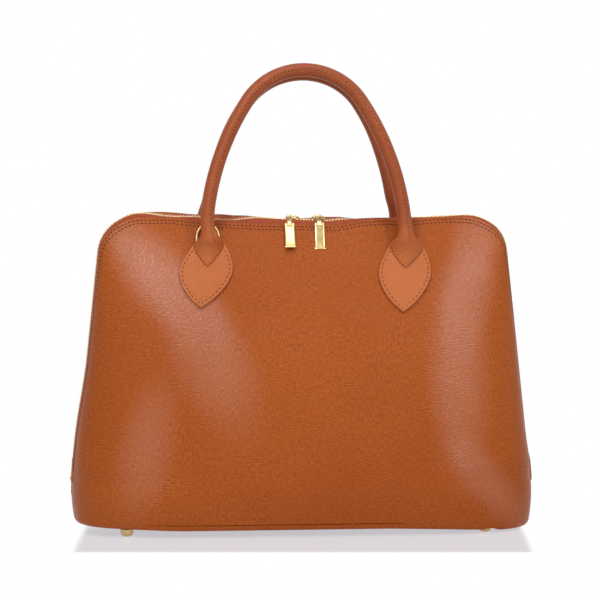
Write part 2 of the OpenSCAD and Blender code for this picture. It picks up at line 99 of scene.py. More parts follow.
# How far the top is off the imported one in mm: x, then the front edge, the teeth and the back edge.
topLines = ((-170, 0.0, 0.0, 0.0), (-150, 0.0, 0.3, 1.6), (-140, 0.0, 0.8, 2.6), (-131, 0.0, 0.6, 3.5),
            (-122, 0.2, -0.5, 4.1), (-109, 0.2, -1.2, 4.4), (-98, 0.2, -0.6, 4.5), (-89, 0.3, -0.2, 4.9),
            (-80, 0.5, -1.8, 5.8), (-70, 0.7, -3.3, 7.0), (-58, 0.8, -2.4, 6.6), (-49, 0.8, -0.8, 5.6),
            (-38, 0.7, 0.4, 3.0), (-20, 0.6, -0.7, 1.5), (0, 0.4, -1.6, 2.4), (14, -0.2, -2.4, 5.0),
            (21, -0.4, -2.6, 5.1), (31, 0.4, -1.6, 4.2), (40, 1.8, -1.9, 2.2), (48, 3.2, -2.8, 1.2),
            (61, 3.6, -3.1, 1.0), (70, 3.2, -3.2, 0.8), (84, 2.0, -2.6, 0.4), (96, 0.5, -2.0, 0.0),
            (116, 0.0, -2.4, 0.0), (129, -0.3, -2.2, -0.4), (142, -0.8, -2.2, -0.8), (152, -0.6, -1.6, -0.8),
            (170, 0.0, 0.0, 0.0))
# How far the lower corners stand out sideways, and how far the front hangs down at the right.
fullness = {"left": 3.4 * mm, "leftFrom": 0.150, "leftTo": 0.075, "leftLift": 1.5 * mm,
            "right": 1.9 * mm, "rightFrom": 0.085, "rightTo": 0.035, "start": 0.10, "droopTop": 0.07,
            "droopX": (0.07, 0.11, 0.14, 0.165, 0.185, 0.20), "droop": (0.0, 1.2, 2.6, 4.2, 4.7, 4.7),
            "footClear": 6.4 * mm, "footFade": 4 * mm, "frontFrom": 0.035, "frontTo": 0.005}


def alongTop(x):
    return smooth((roundX + 0.02 - abs(x)) / sag["cornerFade"])


def zipSag(x):
    rise = sag["zipRise"] * min(1.0, abs(x) / sag["zipSpan"]) ** 2 - sag["zipDip"]
    return rise * alongTop(x)


def edgeSag(x):
    middle = smooth((sag["dipFrom"] - abs(x)) / (sag["dipFrom"] - sag["dipTo"]))
    wave = sag["waveZ"] * math.sin(41 * x + 0.8) * math.sin(67 * x + 2.1)
    lift = sag["edgeLift"] * (1 - middle) - sag["edgeDip"] * middle + wave
    return zipSag(x) + lift * alongTop(x)


# The shape of a moulded half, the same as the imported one.
def wingY(z):
    t = smooth((z - bag["zipEndZ"] + bag["wingDrop"]) / bag["wingDrop"])
    return bag["seamGap"] + (bag["edgeY"] - bag["seamGap"]) * t


def lowShare(z):
    return max(0.0, (bag["bellyZ"] - z) / (bag["bellyZ"] - bag["panelLowZ"]))


def topZ(inset):
    return bag["zipZ"] - bag["edgeDrop"] - bag["rimShare"] * inset


def belly(z, inset=0.0):
    if z <= bag["bellyZ"]:
        return bag["bellyY"] - inset - bag["lowRollY"] * lowShare(z) ** 2
    u = min(1.0, (z - bag["bellyZ"]) / (topZ(inset) - bag["bellyZ"]))
    return bag["edgeY"] + (bag["bellyY"] - inset - bag["edgeY"]) * (1 - u ** bag["fallPower"])


def faceX(z, inset=0.0):
    roundH = topZ(inset) - roundZ
    if z < roundZ + roundH * math.sin(sideTilt):
        side = bag["sideTopX"] + sideSlope * (bag["zipZ"] - z) - bag["sideIn"] - inset
        return side - bag["lowRollX"] * lowShare(z) ** 2
    across = max(0.0, 1 - ((z - roundZ) / roundH) ** 2)
    return roundX + (bag["cornerR"] - bag["sideIn"] - inset) * math.sqrt(across)


def squareness(z):
    v = (z - bag["panelLowZ"]) / (bag["zipZ"] - bag["panelLowZ"])
    return bag["midSquare"] + bag["endSquare"] * (2 * v - 1) ** 2


def faceY(x, z, inset=0.0):
    s = min(1.0, abs(x) / faceX(z, inset))
    w = wingY(z)
    return -(w + (belly(z, inset) - w) * max(0.0, 1 - s ** squareness(z)) ** bag["planPower"])


# Small hand-made unevenness of the leather, none at the foot and little at the edges.
uneven = {"size": 0.9 * mm, "rim": 0.012, "foot": 0.05}


def soften(p):
    x, y, z = p
    high = smooth((z - bag["panelLowZ"]) / uneven["foot"])
    nearTop = smooth((z - bag["zipZ"]) / sag["topFade"] + 1)
    inner = smooth((abs(y) - bag["edgeY"]) / uneven["rim"])
    y -= uneven["size"] * high * inner * math.sin(17 * x + 1.0) * math.sin(23 * z + 0.6)
    wave = math.sin(33 * x + 0.4) * math.sin(52 * x + 1.7)
    y -= sag["waveY"] * nearTop * wave * smooth((0.15 - abs(x)) / sag["cornerFade"])
    z += edgeSag(x) * nearTop
    return Vector((x, y, z))


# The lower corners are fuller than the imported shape, and the right one droops at the front.
def fillOut(p, droops=True):
    x, y, z = p
    side = "left" if x < 0 else "right"
    reach = smooth((fullness[side + "From"] - z) / (fullness[side + "From"] - fullness[side + "To"]))
    out = smooth((abs(x) - fullness["start"]) / 0.09)
    low = 1 - smooth(z / fullness["droopTop"])
    fromFoot = math.hypot(abs(x) - bag["footX"], abs(y) - bag["footY"])
    clear = smooth((fromFoot - fullness["footClear"]) / fullness["footFade"])
    front = smooth((fullness["frontFrom"] - y) / (fullness["frontFrom"] - fullness["frontTo"])) * clear
    droop = np.interp(x, fullness["droopX"], fullness["droop"]) * mm if droops else 0.0
    lift = fullness["leftLift"] * smooth((-x - 0.10) / 0.06)
    x += math.copysign(fullness[side], x) * reach * out
    return Vector((x, y, z - (droop * front - lift) * low))


# The loose top: each edge and the zip between them wave up and down on their own.
topGrid = np.linspace(-0.2, 0.2, 401)
topTable = np.array(topLines).T * mm
evenOut = np.hanning(11) / np.hanning(11).sum()
topWaves = [np.convolve(np.interp(topGrid, topTable[0], line), evenOut, "same") for line in topTable[1:]]


def waveTop(p):
    x, y, z = p
    front, middle, back = (np.interp(x, topGrid, wave) for wave in topWaves)
    share = smooth((abs(y) - 1 * mm) / (bag["edgeY"] - 1 * mm))
    shift = middle + ((front if y < 0 else back) - middle) * share
    loose = smooth((z - bag["zipZ"] + sag["looseFrom"]) / (sag["looseFrom"] - sag["looseTo"]))
    return Vector((x, y, z + shift * loose))


def reshape(piece, change):
    for v in piece.data.vertices:
        v.co = change(v.co)


def settle(piece):
    reshape(piece, lambda p: waveTop(fillOut(p)))


def faceSpot(x, z):
    return soften((x, faceY(x, z), z))


def faceNormal(x, z):
    step, side = 0.5 * mm, math.copysign(1.0, x)
    here = faceSpot(x, z)
    inward, downward = faceSpot(x - side * step, z) - here, faceSpot(x, z - step) - here
    return (inward * side).cross(downward).normalized()


def facePoint(x, z, out=0.0):
    return faceSpot(x, z) + faceNormal(x, z) * out if out else faceSpot(x, z)


# Placing of one object at a time, and finishing it with a modifier.
def clearAll():
    if bpy.context.mode != "OBJECT":
        bpy.ops.object.mode_set(mode="OBJECT")
    bpy.ops.object.select_all(action="DESELECT")


def takeUp(piece):
    clearAll()
    piece.select_set(True)
    bpy.context.view_layer.objects.active = piece


def useModifier(piece, kind, **settings):
    takeUp(piece)
    modifier = piece.modifiers.new(kind.lower(), kind)
    for key, value in settings.items():
        setattr(modifier, key, value)
    bpy.ops.object.modifier_apply(modifier=modifier.name)


def thicken(piece, thickness, offset=-1, **settings):
    useModifier(piece, "SOLIDIFY", thickness=thickness, offset=offset, **settings)


def bevelEdges(piece, width, segments, degrees, **settings):
    useModifier(piece, "BEVEL", width=width, segments=segments, limit_method="ANGLE",
                angle_limit=math.radians(degrees), **settings)


def smoothFaces(piece, degrees):
    takeUp(piece)
    bpy.ops.object.shade_smooth_by_angle(angle=math.radians(degrees))


def meshOp(piece, action, mode="VERT"):
    takeUp(piece)
    bpy.ops.object.mode_set(mode="EDIT")
    bpy.ops.mesh.select_mode(type=mode)
    bpy.ops.mesh.select_all(action="SELECT")
    action()
    bpy.ops.object.mode_set(mode="OBJECT")


def closeUp(piece, gap=0.01 * mm):
    meshOp(piece, lambda: (bpy.ops.mesh.remove_doubles(threshold=gap),
                           bpy.ops.mesh.normals_make_consistent(inside=False)))


# Closes the open ends of a tube, each with one face or with several.
def closeEnds(piece, close=None):
    meshOp(piece, lambda: (bpy.ops.mesh.select_all(action="DESELECT"),
                           bpy.ops.mesh.select_non_manifold(extend=False),
                           (close or bpy.ops.mesh.edge_face_add)()), "EDGE")


# A grid whose points are placed one by one, with its map in metres along the surface.
def gridPiece(name, columns, rows, place, wrap=False):
    clearAll()
    bpy.ops.mesh.primitive_grid_add(x_subdivisions=columns, y_subdivisions=rows, size=1)
    piece = bpy.context.object
    piece.name = piece.data.name = name
    mesh = piece.data
    cells = [(round((v.co.x + 0.5) * columns), round((v.co.y + 0.5) * rows)) for v in mesh.vertices]
    spots = np.array([[place(i, j) for i in range(columns + 1)] for j in range(rows + 1)])
    across = np.linalg.norm(np.diff(spots, axis=1), axis=2).cumsum(axis=1)
    across = np.hstack([np.zeros((rows + 1, 1)), across])
    if not wrap:
        across -= across[:, columns // 2:columns // 2 + 1]
    upward = np.linalg.norm(np.diff(spots[:, columns // 2], axis=0), axis=1).cumsum()
    upward = np.concatenate([[0.0], upward])
    mesh.vertices.foreach_set("co", np.array([spots[j][i] for i, j in cells]).ravel())
    chart = mesh.uv_layers[0].data
    for loop in mesh.loops:
        i, j = cells[loop.vertex_index]
        chart[loop.index].uv = (across[j][i], upward[j])
    mesh.update()
    return piece


def copiesOf(model, name, places):
    made = []
    for place in places:
        one = model.copy()
        one.data = model.data.copy()
        one.data.transform(place)
        bpy.context.scene.collection.objects.link(one)
        made.append(one)
    return joined(name, made)


def joined(name, pieces):
    clearAll()
    for one in pieces:
        one.select_set(True)
    bpy.context.view_layer.objects.active = pieces[0]
    bpy.ops.object.join()
    pieces[0].name = pieces[0].data.name = name
    return pieces[0]


def dropPiece(piece):
    bpy.data.objects.remove(piece, do_unlink=True)


def backCopy(piece, name):
    other = piece.copy()
    other.data = piece.data.copy()
    other.data.transform(Matrix.Rotation(math.pi, 4, "Z"))
    other.name = other.data.name = name
    bpy.context.scene.collection.objects.link(other)
    return other


def wear(piece, *looks):
    piece.data.materials.clear()
    for look in looks:
        piece.data.materials.append(finish[look])


# A front piece and its copy at the back, each with its half's name.
def bothHalves(piece):
    return (piece, "front"), (backCopy(piece, piece.name.replace("front", "back")), "back")


# Shader nodes: groups hold the effects that several finishes share.
def feed(tree, sockets, inputs):
    for key, value in inputs.items():
        if isinstance(value, bpy.types.NodeSocket):
            tree.links.new(value, sockets[key])
        else:
            sockets[key].default_value = value


def addNode(tree, kind, inputs=None, **settings):
    node = tree.nodes.new("ShaderNode" + kind)
    for key, value in settings.items():
        setattr(node, key, value)
    feed(tree, node.inputs, inputs or {})
    return node


# A group's inputs are vectors where they have no value of their own, floats, or colours.
def newGroup(name, inputs, outputs):
    tree = bpy.data.node_groups.new(name, "ShaderNodeTree")
    for label, value in inputs.items():
        kind = "Vector" if value is None else "Float" if isinstance(value, float) else "Color"
        socket = tree.interface.new_socket(label, in_out="INPUT", socket_type="NodeSocket" + kind)
        if value is not None:
            socket.default_value = value
    for label in outputs:
        kind = "Color" if label == "Color" else "Float"
        tree.interface.new_socket(label, in_out="OUTPUT", socket_type="NodeSocket" + kind)
    return tree, tree.nodes.new("NodeGroupInput").outputs, tree.nodes.new("NodeGroupOutput").inputs


def placeGroup(tree, group, inputs):
    return addNode(tree, "Group", inputs, node_tree=group).outputs


def maths(tree, how, a, b=0.0, clamp=False):
    return addNode(tree, "Math", {0: a, 1: b}, operation=how, use_clamp=clamp).outputs[0]


def vectorMaths(tree, how, a, b, result="Vector"):
    return addNode(tree, "VectorMath", {0: a, 1: b}, operation=how).outputs[result]


def bumped(tree, height, strength, distance):
    return addNode(tree, "Bump", {"Strength": strength, "Distance": distance, "Height": height}).outputs[0]


def noise(tree, vector, scale, detail=2.0, rough=0.5):
    return addNode(tree, "TexNoise", {"Vector": vector, "Scale": scale, "Detail": detail,
                                      "Roughness": rough}).outputs["Fac"]


def colourMix(tree, share, a, b):
    return addNode(tree, "Mix", {0: share, 6: a, 7: b}, data_type="RGBA").outputs[2]


def shadeRange(tree, value, low, high, toLow=0.0, toHigh=1.0):
    return addNode(tree, "MapRange", {0: value, 1: low, 2: high, 3: toLow, 4: toHigh}).outputs[0]


# Pressed print of the leather: short level and upright strokes, each stronger in its own patches.
def printGroup():
    tree, given, out = newGroup("leatherPrint", {"Vector": None, "Lines": 620.0, "Length": 0.36,
                                                 "Patches": 22.0}, ["Height"])
    strokes = []
    for level in (True, False):
        lengthwise = maths(tree, "MULTIPLY", given["Lines"], given["Length"])
        scales = (lengthwise, given["Lines"]) if level else (given["Lines"], lengthwise)
        size = addNode(tree, "CombineXYZ", {0: scales[0], 1: scales[1], 2: 1.0}).outputs[0]
        moved = vectorMaths(tree, "MULTIPLY", given["Vector"], size)
        strokes.append(shadeRange(tree, noise(tree, moved, 1.0, 1.5, 0.55), 0.33, 0.67))
    patch = shadeRange(tree, noise(tree, given["Vector"], given["Patches"], 1.0), 0.40, 0.60)
    feed(tree, out, {"Height": addNode(tree, "Mix", {0: patch, 2: strokes[0], 3: strokes[1]}).outputs[0]})
    return tree


# How near a place is to a slanting oval on the front or the back, seen along Y.
def ovalGroup():
    tree, given, out = newGroup("rubbedOval", {"Vector": None, "Centre": None, "Along": None, "Across": None},
                                ["Mask"])
    away = vectorMaths(tree, "SUBTRACT", given["Vector"], given["Centre"])
    squares = []
    for axis in ("Along", "Across"):
        reach = vectorMaths(tree, "DOT_PRODUCT", away, given[axis], "Value")
        squares.append(maths(tree, "MULTIPLY", reach, reach))
    feed(tree, out, {"Mask": shadeRange(tree, maths(tree, "ADD", *squares), 1.0, 0.0)})
    return tree


# Slow drift of tone over a hide, and a finer mottle.
def toneGroup():
    tree, given, out = newGroup("hideTone", {"Vector": None, "Tone": (1, 1, 1, 1), "Deep": (0, 0, 0, 1),
                                             "Drift": 9.0, "Mottle": 240.0}, ["Color", "Mask"])
    slow = shadeRange(tree, noise(tree, given["Vector"], given["Drift"], 2.0), 0.35, 0.68)
    fine = shadeRange(tree, noise(tree, given["Vector"], given["Mottle"], 3.0, 0.6), 0.3, 0.75)
    mask = maths(tree, "ADD", maths(tree, "MULTIPLY", slow, 0.62), maths(tree, "MULTIPLY", fine, 0.38))
    feed(tree, out, {"Color": colourMix(tree, mask, given["Tone"], given["Deep"]), "Mask": mask})
    return tree


# Small scratches and rubbed spots on metal.
def rubGroup():
    tree, given, out = newGroup("metalRub", {"Vector": None, "Scale": 700.0}, ["Mask", "Height"])
    hair = addNode(tree, "Mapping", {"Vector": given["Vector"], "Scale": (0.18, 1.6, 0.18)}).outputs[0]
    fine = noise(tree, hair, given["Scale"], 2.0)
    spots = shadeRange(tree, noise(tree, given["Vector"], 160.0, 2.0), 0.4, 0.75)
    feed(tree, out, {"Mask": maths(tree, "MULTIPLY", fine, spots), "Height": fine})
    return tree


# Plain weave of a tape or lining.
def weaveGroup():
    tree, given, out = newGroup("plainWeave", {"Vector": None, "Threads": 2200.0}, ["Height", "Mask"])
    split = addNode(tree, "SeparateXYZ", {0: given["Vector"]}).outputs
    waves = [maths(tree, "SINE", maths(tree, "MULTIPLY", split[n], given["Threads"])) for n in (0, 1)]
    cross = maths(tree, "MULTIPLY", waves[0], waves[1])
    feed(tree, out, {"Height": shadeRange(tree, cross, -1.0, 1.0),
                     "Mask": shadeRange(tree, noise(tree, given["Vector"], 420.0, 2.0), 0.35, 0.7)})
    return tree


leatherPrint, hideTone, metalRub, plainWeave = printGroup(), toneGroup(), rubGroup(), weaveGroup()
rubbedOval = ovalGroup()
# Where handling has polished the hide: centre x and z, half length and half width in metres, lean in degrees.
polished = ((-0.118, 0.212, 0.085, 0.034, 44), (-0.080, 0.150, 0.090, 0.040, 25),
            (-0.135, 0.075, 0.075, 0.030, -12), (0.140, 0.215, 0.085, 0.030, -12),
            (0.128, 0.130, 0.110, 0.034, 2), (0.150, 0.045, 0.060, 0.022, 38))


def rgb(red, green, blue):
    return tuple((c / 255 / 12.92 if c < 10 else ((c / 255 + 0.055) / 1.055) ** 2.4)
                 for c in (red, green, blue)) + (1.0,)


def newMaterial(name):
    material = bpy.data.materials.new(name)
    material.use_nodes = True
    tree = material.node_tree
    shader = next(n for n in tree.nodes if n.type == "BSDF_PRINCIPLED")
    return material, tree, shader


# Leathers. Tone and deep are the two colours between which a hide drifts.
leathers = {
    "tanLeather": {"tone": rgb(184, 98, 41), "deep": rgb(168, 85, 33), "stroke": rgb(148, 64, 18),
                   "lines": 800.0, "rough": (0.30, 0.38), "level": 0.10, "shine": 0.62, "depth": 0.6,
                   "strokeShare": 0.75},
    "handleLeather": {"tone": rgb(170, 86, 40), "deep": rgb(146, 66, 28), "stroke": rgb(120, 50, 22),
                      "lines": 900.0, "rough": (0.34, 0.46), "level": 0.28, "depth": 0.3, "strokeShare": 0.3,
                      # At the neck's foot the handle is painted in a lighter tone that fades to its own tone
                      # higher up: painted shading of the neck rising off the tab.
                      "root": rgb(200, 110, 54), "rootZ": (0.232, 0.270)},
    "tabLeather": {"tone": rgb(200, 112, 58), "deep": rgb(184, 98, 46), "stroke": rgb(160, 78, 34),
                   "lines": 900.0, "rough": (0.40, 0.52), "level": 0.28, "depth": 0.3, "strokeShare": 0.3},
    # Leather of the base, painted darker than the body's: painted shade of the bag's underside.
    "darkLeather": {"tone": rgb(140, 66, 34), "deep": rgb(116, 52, 26), "stroke": rgb(96, 42, 22),
                    "lines": 700.0, "rough": (0.40, 0.55), "level": 0.45, "depth": 0.25, "strokeShare": 0.4}}


def makeLeather(name, look):
    material, tree, shader = newMaterial(name)
    chart = addNode(tree, "UVMap").outputs[0]
    where = addNode(tree, "TexCoord").outputs["Object"]
    pressed = placeGroup(tree, leatherPrint, {"Vector": chart, "Lines": look["lines"]})["Height"]
    tone = placeGroup(tree, hideTone, {"Vector": where, "Tone": look["tone"], "Deep": look["deep"]})
    share = maths(tree, "MULTIPLY", maths(tree, "SUBTRACT", 1.0, pressed), look["strokeShare"])
    plain, level = tone["Color"], look["level"]
    # Painted shading: lighter at the neck's foot, fading to the plain tone over the rootZ heights.
    if "root" in look:
        high = addNode(tree, "SeparateXYZ", {0: where}).outputs[2]
        plain = colourMix(tree, shadeRange(tree, high, *look["rootZ"]), look["root"], plain)
    if "shine" in look:
        rubbed = 0.0
        for x, z, long, wide, lean in polished:
            lean = math.radians(lean)
            oval = placeGroup(tree, rubbedOval, {"Vector": where, "Centre": (x, 0, z),
                                                 "Along": (math.sin(lean) / long, 0, -math.cos(lean) / long),
                                                 "Across": (math.cos(lean) / wide, 0, math.sin(lean) / wide)})
            rubbed = maths(tree, "ADD", rubbed, maths(tree, "POWER", oval["Mask"], 1.7), clamp=True)
        level = shadeRange(tree, rubbed, 0.0, 1.0, level, look["shine"])
    feed(tree, shader.inputs, {"Base Color": colourMix(tree, share, plain, look["stroke"]),
                               "Roughness": shadeRange(tree, tone["Mask"], 0.0, 1.0, *look["rough"]),
                               "Normal": bumped(tree, pressed, look["depth"], 0.4 * mm),
                               "Specular IOR Level": level})
    return material


finish = {name: makeLeather(name, look) for name, look in leathers.items()}

plainSoft = {
    "leatherEdge": {"tone": rgb(120, 56, 30), "deep": rgb(92, 40, 22), "rough": 0.55, "mottle": 900.0},
    # Stitch holes are painted near black: painted shade inside the holes.
    "stitchHoleShade": {"tone": rgb(66, 26, 14), "deep": rgb(44, 16, 8), "rough": 0.9, "mottle": 2500.0},
    "edgeThread": {"tone": rgb(168, 88, 46), "deep": rgb(140, 68, 36), "rough": 0.6, "mottle": 2500.0},
    "tabThread": {"tone": rgb(196, 116, 70), "deep": rgb(176, 96, 54), "rough": 0.6, "mottle": 2500.0},
    "seamThread": {"tone": rgb(190, 112, 68), "deep": rgb(160, 88, 50), "rough": 0.6, "mottle": 2500.0},
    "suede": {"tone": rgb(170, 116, 78), "deep": rgb(148, 96, 62), "rough": 0.9, "mottle": 600.0},
    "filling": {"tone": rgb(214, 196, 160), "deep": rgb(190, 170, 132), "rough": 0.9, "mottle": 900.0},
    "board": {"tone": rgb(120, 100, 80), "deep": rgb(98, 80, 62), "rough": 0.9, "mottle": 500.0}}


def makeSoft(name, look):
    material, tree, shader = newMaterial(name)
    where = addNode(tree, "TexCoord").outputs["Object"]
    tone = placeGroup(tree, hideTone, {"Vector": where, "Tone": look["tone"], "Deep": look["deep"],
                                       "Mottle": look["mottle"]})
    feed(tree, shader.inputs, {"Base Color": tone["Color"], "Roughness": look["rough"],
                               "Normal": bumped(tree, tone["Mask"], 0.3, 0.2 * mm),
                               "Specular IOR Level": 0.35})
    return material


finish.update({name: makeSoft(name, look) for name, look in plainSoft.items()})

woven = {
    "zipTape": {"tone": rgb(176, 82, 46), "deep": rgb(138, 60, 34), "threads": 5200.0, "depth": 0.5},
    "liningCloth": {"tone": rgb(176, 140, 100), "deep": rgb(150, 116, 80), "threads": 4200.0, "depth": 0.35}}


def makeCloth(name, look):
    material, tree, shader = newMaterial(name)
    chart = addNode(tree, "UVMap").outputs[0]
    weave = placeGroup(tree, plainWeave, {"Vector": chart, "Threads": look["threads"]})
    share = maths(tree, "ADD", maths(tree, "MULTIPLY", weave["Mask"], 0.6),
                  maths(tree, "MULTIPLY", maths(tree, "SUBTRACT", 1.0, weave["Height"]), 0.4))
    feed(tree, shader.inputs, {"Base Color": colourMix(tree, share, look["tone"], look["deep"]),
                               "Normal": bumped(tree, weave["Height"], look["depth"], 0.2 * mm),
                               "Roughness": 0.82, "Sheen Weight": 0.15, "Specular IOR Level": 0.3})
    return material


finish.update({name: makeCloth(name, look) for name, look in woven.items()})

gold = {"bright": rgb(206, 176, 122), "rubbed": rgb(226, 202, 156), "rough": (0.16, 0.30)}


def makeGold():
    material, tree, shader = newMaterial("goldMetal")
    where = addNode(tree, "TexCoord").outputs["Object"]
    rub = placeGroup(tree, metalRub, {"Vector": where})
    feed(tree, shader.inputs, {"Base Color": colourMix(tree, rub["Mask"], gold["bright"], gold["rubbed"]),
                               "Roughness": shadeRange(tree, rub["Mask"], 0.0, 0.7, *gold["rough"]),
                               "Normal": bumped(tree, rub["Height"], 0.05, 0.1 * mm), "Metallic": 1.0})
    return material


finish["gold"] = makeGold()
print("finishes made")

# Studio: a glossy white floor that runs into a white surround, and broad soft lamps. The patch of floor that
# shows the bag's reflection is given by its half width, its half depth and the softness of its rim.
# The patch's tone is a painted pale grey that the camera sees: painted reflection and shadow of the bag on
# the floor.
studio = {"floorSize": 8.0, "nearShare": 0.66, "world": 0.21, "aimZ": 0.16,
          "patch": (0.185, 0.124, 0.003), "paintedPatchShade": rgb(230, 228, 233),
          "lamps": [("leftBox", (-0.84, -1.66, 1.64), (0.5, 0.5), 15.0),
                    ("rightBox", (1.12, -1.72, 1.36), (0.4, 0.9), 10.5),
                    ("topBox", (0.0, -0.6, 1.9), (1.4, 0.9), 13.0),
                    ("frontBox", (0.0, -2.6, 0.9), (2.4, 1.6), 6.0),
                    ("backBox", (0.0, 2.4, 1.3), (2.4, 1.6), 9.0)]}


# What the camera and mirror-like surfaces see is plain white; the light on the bag is left alone.
def whereSeen(tree):
    rays = addNode(tree, "LightPath").outputs
    mirrored = maths(tree, "ADD", rays["Is Glossy Ray"], rays["Is Transmission Ray"])
    return maths(tree, "ADD", rays["Is Camera Ray"], mirrored, clamp=True)


def makeFloor():
    clearAll()
    bpy.ops.mesh.primitive_circle_add(vertices=96, radius=studio["floorSize"], fill_type="NGON",
                                      location=(0, 0, 0))
    ground = bpy.context.object
    ground.name = "studioFloor"
    material, tree, shader = newMaterial("floorGloss")
    where = addNode(tree, "TexCoord").outputs["Object"]
    feed(tree, shader.inputs, {"Base Color": (0.9, 0.9, 0.9, 1), "Specular IOR Level": 0.5,
                               "Roughness": shadeRange(tree, noise(tree, where, 3.0), 0.3, 0.7, 0.16, 0.2)})
    halfWide, halfDeep, rim = studio["patch"]
    turn = math.radians(camera["azimuth"])
    sideways, onward = (math.cos(turn), math.sin(turn), 0), (-math.sin(turn), math.cos(turn), 0)
    inside = 1.0
    for axis, half in ((sideways, halfWide), (onward, halfDeep)):
        reach = maths(tree, "ABSOLUTE", vectorMaths(tree, "DOT_PRODUCT", where, axis, "Value"))
        inside = maths(tree, "MULTIPLY", inside, shadeRange(tree, reach, half + rim, half - rim))
    # Inside the patch the camera sees painted grey: a painted reflection and shadow of the bag on the floor.
    shown = colourMix(tree, inside, (1, 1, 1, 1), studio["paintedPatchShade"])
    white = addNode(tree, "Emission", {"Color": shown, "Strength": 1.0})
    near = shadeRange(tree, inside, 0.0, 1.0, 1.0, studio["nearShare"])
    share = maths(tree, "MULTIPLY", whereSeen(tree), near)
    mixed = addNode(tree, "MixShader", {0: share, 1: shader.outputs[0], 2: white.outputs[0]})
    feed(tree, tree.nodes["Material Output"].inputs, {"Surface": mixed.outputs[0]})
    ground.data.materials.append(material)


def makeLamps():
    aim = Vector((0, 0, studio["aimZ"]))
    for name, place, size, power in studio["lamps"]:
        clearAll()
        bpy.ops.object.light_add(type="AREA", location=place)
        lamp = bpy.context.object
        lamp.name = name
        lamp.data.shape = "RECTANGLE"
        lamp.data.size, lamp.data.size_y = size
        lamp.data.energy = power
        lamp.rotation_euler = (aim - Vector(place)).to_track_quat("-Z", "Y").to_euler()
        lamp.visible_camera = False
    world = bpy.data.worlds.new("studioWorld")
    world.use_nodes = True
    tree = world.node_tree
    strength = shadeRange(tree, whereSeen(tree), 0.0, 1.0, studio["world"], 1.0)
    feed(tree, tree.nodes["Background"].inputs, {"Color": (1, 1, 1, 1), "Strength": strength})
    bpy.context.scene.world = world
    bpy.context.scene.view_settings.view_transform = "Standard"


makeFloor()
makeLamps()
print("studio ready")

# Body leather and lining of the two halves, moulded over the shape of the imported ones.
shell = {"columns": 120, "lowRows": 10, "wallRows": 38, "cornerRows": 20, "rim": 0.55 * mm,
         "liningIn": 3.4 * mm, "liningT": 0.8 * mm, "bendLow": 0.038, "bendHigh": 0.13, "bendY": 0.03,
         "curl": ((5.3, 8.0), (5.35, 6.2), (5.6, 4.4), (5.95, 2.9), (6.5, 1.9), (7.15, 1.25), (7.9, 0.7),
                  (8.9, 0.2)),
         "creaseZ": 10.8 * mm, "creaseDeep": 1.5 * mm, "creaseSpan": (-0.150, -0.110, 0.060, 0.095),
         "creaseRows": (-1.3, -0.4, 0.0, 0.4, 1.3), "liningColumns": 60, "liningCounts": (6, 20, 10)}


def shellHeights(inset, lowRows, wallRows, cornerRows):
    roundH = topZ(inset) - roundZ
    join = roundZ + roundH * math.sin(sideTilt)
    low = np.linspace(bag["panelLowZ"], bag["bellyZ"], lowRows, endpoint=False)
    wall = np.linspace(bag["bellyZ"], join, wallRows, endpoint=False)
    turns = np.linspace(sideTilt, math.pi / 2, cornerRows + 1)
    return list(low) + list(wall) + [roundZ + roundH * math.sin(a) for a in turns]


# A moulded half from its lowest row up to the edge beside the zip. The curl turns its foot in under the bag.
def makeShell(name, inset, thickness, columns, counts, curl=()):
    heights = shellHeights(inset, *counts)
    if curl:
        heights = sorted(heights + [shell["creaseZ"] + step * mm for step in shell["creaseRows"]])

    def place(i, j):
        if j < len(curl):
            z, inward = curl[j]
            first = place(i, len(curl))
            along = place(min(columns, i + 1), len(curl)) - place(max(0, i - 1), len(curl))
            out = Vector((along.y, -along.x, 0)).normalized() if along.length > 1e-6 else Vector((0, -1, 0))
            spot = first - out * inward * mm
            return Vector((spot.x, min(-0.1 * mm, spot.y), z * mm))
        z = heights[j - len(curl)]
        s = math.sin(math.pi * (i / columns - 0.5))
        power = 2 / squareness(z) + bag["planPower"] / 2
        x = faceX(z, inset) * math.copysign(abs(s) ** power, s)
        y = faceY(x, z, inset)
        if curl and abs(z - shell["creaseZ"]) < 0.05 * mm:
            a, b, c, d = shell["creaseSpan"]
            y += shell["creaseDeep"] * smooth((x - a) / (b - a)) * smooth((d - x) / (d - c))
        return soften((x, y, z))

    piece = gridPiece(name, columns, len(heights) + len(curl) - 1, place)
    thicken(piece, thickness, use_even_offset=True, material_offset=1, material_offset_rim=2)
    return piece


# Bakes a piece's placement into its mesh.
def bendHalf(piece):
    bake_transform(piece)


def layOn(piece, half, node, slot):
    settle(piece)
    if node:
        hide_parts(f"{half}_{node}")
    bendHalf(piece)


def makeHalves():
    counts = (shell["lowRows"], shell["wallRows"], shell["cornerRows"])
    outer = makeShell("frontLeather", 0.0, bag["leatherT"], shell["columns"], counts, shell["curl"])
    bevelEdges(outer, shell["rim"], 2, 60, material=2)
    smoothFaces(outer, 50)
    wear(outer, "tanLeather", "suede", "leatherEdge")
    inner = makeShell("frontLining", shell["liningIn"], shell["liningT"], shell["liningColumns"],
                      shell["liningCounts"])
    smoothFaces(inner, 50)
    wear(inner, *["liningCloth"] * 3)
    for piece, node, slot in ((outer, "panel", "tan_leather"), (inner, "lining", "lining")):
        for one, half in bothHalves(piece):
            layOn(one, half, node, slot)


makeHalves()
print("body leather and lining made")

